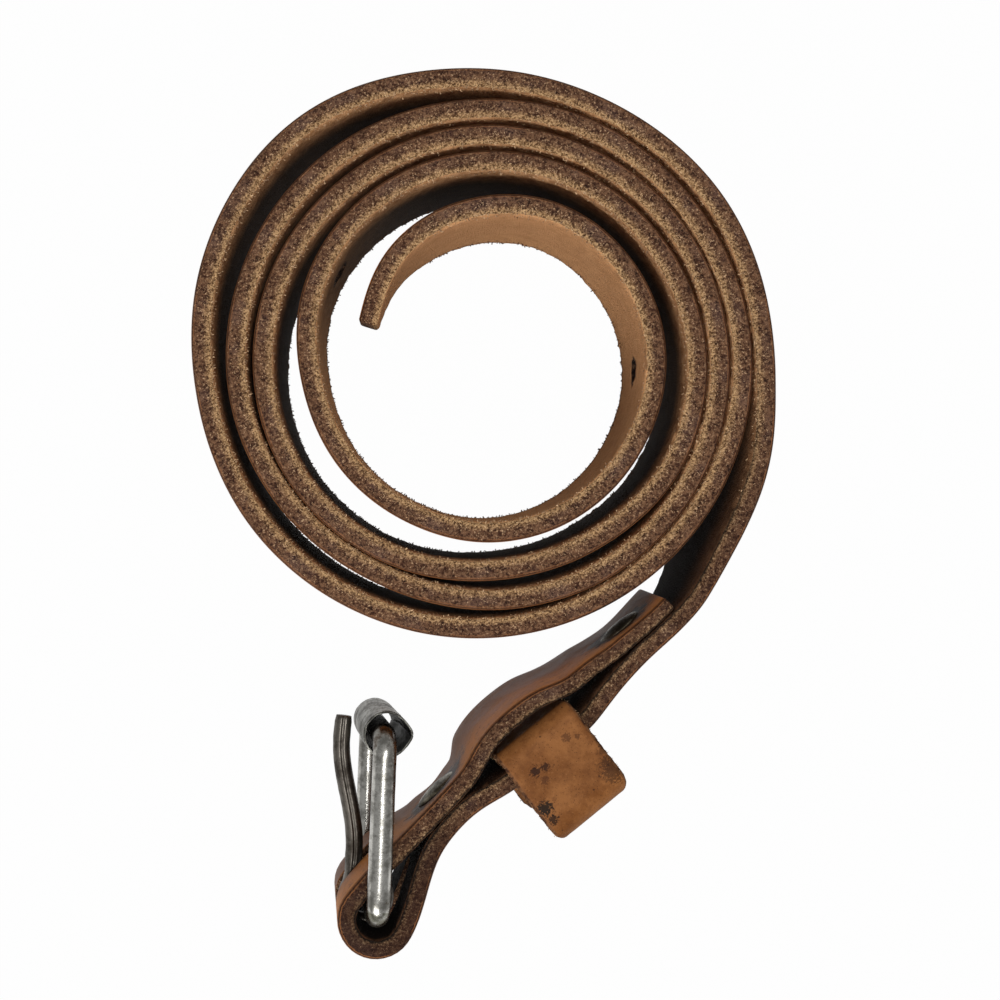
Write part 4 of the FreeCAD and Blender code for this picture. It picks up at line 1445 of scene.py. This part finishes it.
def cap_mesh():
    """Domed cap with a rolled rim, flat face down at height 0."""
    profile = [(0.0, 0.0), (CAP_RADIUS - 0.25, 0.0), (CAP_RADIUS - 0.06, 0.12), (CAP_RADIUS, 0.34),
               (CAP_RADIUS - 0.08, 0.55), (CAP_RADIUS - 0.34, CAP_RIM)]
    for share in (0.8, 0.6, 0.4, 0.2, 0.06):
        profile.append(((CAP_RADIUS - 0.4) * share, CAP_RIM + CAP_DOME * (1 - share * share)))
    around = CAP_AROUND
    points = [(0.0, 0.0, 0.0)]
    for radius, height in profile[1:]:
        for number in range(around):
            angle = 2 * math.pi * number / around
            points.append((*on_circle(radius, angle), height))
    points.append((0.0, 0.0, CAP_RIM + CAP_DOME))
    faces = []
    rings = len(profile) - 1
    for number in range(around):
        after = (number + 1) % around
        faces.append((0, 1 + after, 1 + number))
        for ring in range(rings - 1):
            low = 1 + ring * around
            faces.append((low + number, low + after, low + around + after, low + around + number))
        last = 1 + (rings - 1) * around
        faces.append((last + number, last + after, len(points) - 1))
    mesh = bpy.data.meshes.new("cap")
    mesh.from_pydata(points, [], faces)
    mesh.update()
    outward(mesh)
    return mesh


def gap_at(along):
    return float(np.interp(along, [at for at, _ in LAYER_GAPS], [gap for _, gap in LAYER_GAPS]))


def rivet_seats():
    """A mesh of four points. Each stores the way out of the leather at its cap."""
    spots = []
    ways = []
    for along in RIVETS_AT:
        place = rivet_place(along)
        grip = FOLD_THICKNESS + lap_thickness(along) + gap_at(along) - 2 * RIVET_SINK
        way = (place.to_3x3() @ Vector((0, 0, 1))).normalized()
        for height, out in ((0.0, -way), (grip, way)):
            spots.append(place @ Vector((0, 0, height)))
            ways.append(out)
    mesh = bpy.data.meshes.new("rivet seats")
    mesh.from_pydata([tuple(spot) for spot in spots], [], [])
    attribute = mesh.attributes.new("out", "FLOAT_VECTOR", "POINT")
    attribute.data.foreach_set("vector", [value for way in ways for value in way])
    return mesh


def rivet_tree(cap_object):
    tree = Growth("rivets")
    size = tree.input("Scale", "Float", MM)
    material = tree.input("Material", "Material")
    turn = tree.add("FunctionNodeAlignRotationToVector", {"axis": "Z"}, {"Vector": tree.stored("out")})
    cap = tree.add("GeometryNodeObjectInfo", {}, {"Object": cap_object}, out=4)
    points = tree.add("GeometryNodeMeshToPoints", {}, {"Mesh": tree.start()})
    caps = tree.add("GeometryNodeInstanceOnPoints", {}, {
        "Points": points, "Instance": cap, "Rotation": turn, "Scale": size})
    smooth = tree.add("GeometryNodeSetShadeSmooth", {}, {"Geometry": caps, "Shade Smooth": True})
    tree.end(smooth, material)
    return tree


rivet_steel = worn_plate("rivet plate", tone(126, 120, 104), tone(70, 64, 52), tone(40, 34, 24),
                         0.35, 0.6)
cap_thing = show("cap", cap_mesh())
rivet_caps = rivet_tree(cap_thing).grown("rivets", rivet_seats(), Scale=MM, Material=rivet_steel)
bpy.data.objects.remove(cap_thing)
rivets = show("rivet_caps", rivet_caps)
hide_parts("front_rivet_post", "front_rivet_cap", "rear_rivet_post", "rear_rivet_cap")
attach(rivets, "strap_body")
print("rivets:", len(rivet_caps.polygons), "faces")

# %% [markdown]
# ## Floor
# The object stands on a plain floor. The floor shows as white to the camera and in the metal, while
# keeping a little of its own shading, so that it holds the object's shadow. To all other rays it is
# a dull grey, so that little light comes back from below and the strap's walls stay dark toward
# their foot.

# %% Finish and size of the floor
FLOOR_REACH = 20
FLOOR_WHITE = 0.985


def floor_finish():
    finish = Finish("floor", Roughness=0.8)
    finish.shader.inputs["Base Color"].default_value = tone(120, 118, 116)
    seen = finish.add("ShaderNodeLightPath", out="Is Camera Ray")
    rays = seen.socket.node.outputs
    mirrored = Value(finish, rays["Is Glossy Ray"]) + Value(finish, rays["Is Transmission Ray"])
    white = finish.add("ShaderNodeEmission", {}, {"Color": (1.0, 1.0, 1.0, 1.0), "Strength": 1.0})
    share = (seen + mirrored) * FLOOR_WHITE
    grey = Value(finish, finish.shader.outputs[0])
    mixed = finish.add("ShaderNodeMixShader", {}, {0: share, 1: grey, 2: white})
    finish.nodes.links.new(mixed.socket, finish.nodes.nodes["Material Output"].inputs["Surface"])
    return finish.material


corners = [(x * FLOOR_REACH, y * FLOOR_REACH, 0) for x, y in ((-1, -1), (1, -1), (1, 1), (-1, 1))]
floor_mesh = bpy.data.meshes.new("floor")
floor_mesh.from_pydata(corners, [], [(0, 1, 2, 3)])
floor = show("floor", floor_mesh, floor_finish())
print("floor:", 2 * FLOOR_REACH, "m wide")

# %% [markdown]
# ## Light and camera
# Soft studio light comes from the sky all around, from a long lamp above and from a lamp in front.
# The camera looks straight down from near by, so the roll's inner walls come into view.

# %% Sky, two lamps and the camera
world = bpy.data.worlds.new("studio")
world.use_nodes = True
world.node_tree.nodes["Background"].inputs["Color"].default_value = (1, 1, 1, 1)
world.node_tree.nodes["Background"].inputs["Strength"].default_value = 0.42
bpy.context.scene.world = world


def lamp(name, place, target, wide, deep, power):
    light = bpy.data.lights.new(name, "AREA")
    light.shape = "RECTANGLE"
    light.size = wide
    light.size_y = deep
    light.energy = power
    thing = bpy.data.objects.new(name, light)
    bpy.context.scene.collection.objects.link(thing)
    thing.location = place
    thing.rotation_euler = (Vector(target) - Vector(place)).to_track_quat("-Z", "Y").to_euler()


lamp("top", (0.05, 0.05, 0.65), (0, 0, 0), 0.12, 0.40, 2.6)
lamp("front", (-0.21, -0.47, 0.42), (0, 0, 0), 0.35, 0.15, 3.3)

camera = bpy.data.cameras.new("camera")
camera.lens = 44.42
camera.shift_x = 0.083
camera.shift_y = -0.019
camera.clip_start = 0.01
eye = bpy.data.objects.new("camera", camera)
eye.location = (-0.01111, 0.00422, 0.231)
bpy.context.scene.collection.objects.link(eye)
bpy.context.scene.camera = eye
bpy.context.scene.view_settings.view_transform = "Standard"
print("the camera stands", round(eye.location.z, 3), "m up")

# %% [markdown]
# ## The end
